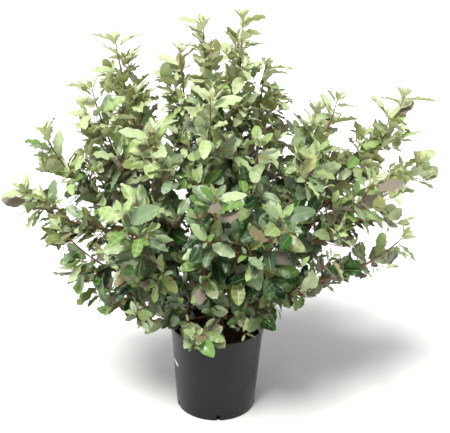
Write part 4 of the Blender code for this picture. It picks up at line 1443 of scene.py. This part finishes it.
# %% Make one mesh of many leaves
def leaf_piece(name, leaves):
    """One mesh of many leaves, each face with its paint."""
    roots = np.array([list(leaf[0]) for leaf in leaves])
    turns = np.array([[list(row) for row in leaf[1]] for leaf in leaves])
    sizes = np.array([leaf[2] for leaf in leaves])
    forms = FORMS[[leaf[3] for leaf in leaves]]
    points = np.einsum("nij,nvj->nvi", turns, forms) * sizes[:, None, None] + roots[:, None]
    faces = LEAF_FACES[None] + (np.arange(len(leaves)) * FORMS.shape[1])[:, None, None]
    tones, backs, ribs = (np.array([leaf[k] for leaf in leaves]) for k in (4, 5, 6))
    streaks = tones + STREAK_FIRST * (np.arange(len(leaves)) % 2)
    stalks = np.full(len(leaves), STALK_RUSSET)
    by_part = np.stack([tones, streaks, ribs, BACK_FIRST + backs, stalks], 1)
    finishes = by_part[:, LEAF_PARTS]
    mesh = bpy.data.meshes.new(name)
    mesh.vertices.add(points.shape[0] * points.shape[1])
    mesh.vertices.foreach_set("co", points.astype(np.float32).ravel())
    mesh.loops.add(faces.size)
    mesh.loops.foreach_set("vertex_index", faces.astype(np.int32).ravel())
    mesh.polygons.add(faces.size // 3)
    mesh.polygons.foreach_set("loop_start", np.arange(0, faces.size, 3, dtype=np.int32))
    mesh.polygons.foreach_set("material_index", finishes.astype(np.int32).ravel())
    mesh.update(calc_edges=True)
    mesh.shade_smooth()
    for paint in paints:
        mesh.materials.append(paint)
    return placed(name, mesh)


# %% Join the leaves and the twigs of each side
LEADER_SIDES, TWIG_SIDES = 8, 5
twig_paints = [
    finish_of("twig_brown", (118, 82, 58), 0.7),
    finish_of("twig_russet", (144, 98, 66), 0.65),
    finish_of("twig_copper", (166, 118, 78), 0.6),
]
for paint in twig_paints:
    roughened(paint, 500.0, 0.3, 0.0004)

total = 0
for side, own in by_side.items():
    leaves = leaf_piece(f"leaves_{side}", [leaf for mass in own for leaf in mass.leaves])
    tubes = Tubes()
    for mass in own:
        for line, radii, finish in mass.twigs:
            tubes.add(line, radii, LEADER_SIDES if finish == 0 else TWIG_SIDES, finish)
    twigs = tubes.piece(f"twigs_{side}", twig_paints)
    for piece, slot in ((leaves, SIDE_SLOTS[side]), (twigs, "bark_russet")):
        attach(piece, "root")
        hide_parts(*[f"foliage_{mass.shoot.name}" for mass in own])
    count = len(leaves.data.polygons)
    total += count
    print(side, "leaf triangles:", count, "twig faces:", len(twigs.data.polygons))
print("leaf triangles in all:", total)

# %% [markdown]
# ## Floor, light and camera
# The plant stands on a plain pale floor in soft light: one broad source above, in front and to
# the left, as bright cloud would be, and an even surround that lifts the shadows. The camera
# looks down at the crown from eye height, as the photograph does.

# %% Set the floor and the light
SKY_COLOUR, SKY_STRENGTH = (0.975, 0.985, 1.0), 0.52
CROWN_HEART = Vector((0, 0, 0.6))
FLOOR_CORNERS = [(-30, -10, 0), (30, -10, 0), (30, 60, 0), (-30, 60, 0)]

floor = shaped("pale_floor", FLOOR_CORNERS, [(0, 1, 2, 3)])
floor_white = finish_of("floor_white", (246, 246, 245), 0.9, Specular_IOR_Level=0.2)
floor.data.materials.append(floor_white)

world = bpy.data.worlds.new("even_surround")
world.use_nodes = True
bpy.context.scene.world = world
sky = world.node_tree.nodes["Background"]
sky.inputs["Color"].default_value = (*SKY_COLOUR, 1.0)
sky.inputs["Strength"].default_value = SKY_STRENGTH


def sun(name, place, strength, softness, colour):
    """A distant soft light that shines from a place towards the middle of the crown."""
    light = bpy.data.lights.new(name, "SUN")
    light.energy = strength
    light.angle = math.radians(softness)
    light.color = colour
    obj = placed(name, light)
    look = CROWN_HEART - Vector(place)
    turn = look.to_track_quat("-Z", "Y").to_matrix().to_4x4()
    obj.matrix_world = Matrix.Translation(place) @ turn


sun("bright_cloud", (-0.9, -1.7, 3.9), strength=4.30, softness=24, colour=(1.0, 0.99, 0.965))
print("sky strength:", SKY_STRENGTH)

# %% Place the camera where the photograph was taken
CAMERA_PLACE = Vector((0, -2.35, 1.50))
PITCH, YAW, ROLL = 0.363, 0.0068, 0.023
FOCAL_PIXELS, IMAGE_WIDTH, SENSOR = 878.0, 450, 36.0

level = math.cos(PITCH)
forward = Vector((math.sin(YAW) * level, math.cos(YAW) * level, -math.sin(PITCH)))
right = Vector((math.cos(YAW), -math.sin(YAW), 0))
upward = right.cross(forward)
rolled_right = right * math.cos(ROLL) + upward * math.sin(ROLL)
rolled_up = upward * math.cos(ROLL) - right * math.sin(ROLL)
camera_data = bpy.data.cameras.new("photo_view")
camera_data.sensor_width = SENSOR
camera_data.lens = FOCAL_PIXELS / IMAGE_WIDTH * SENSOR
camera = placed("photo_view", camera_data)
camera_turn = Matrix((rolled_right, rolled_up, -forward)).transposed().to_4x4()
camera.matrix_world = Matrix.Translation(CAMERA_PLACE) @ camera_turn
bpy.context.scene.camera = camera
bpy.context.scene.view_settings.view_transform = "Standard"
print("lens in millimetres:", round(camera_data.lens, 1))

# %% [markdown]
# ## Finish
# The finished plant has to stay inside the part's own box, apart from a little slack. Last, the
# scene is brought up to date.

# %% Finish
bpy.context.view_layer.update()
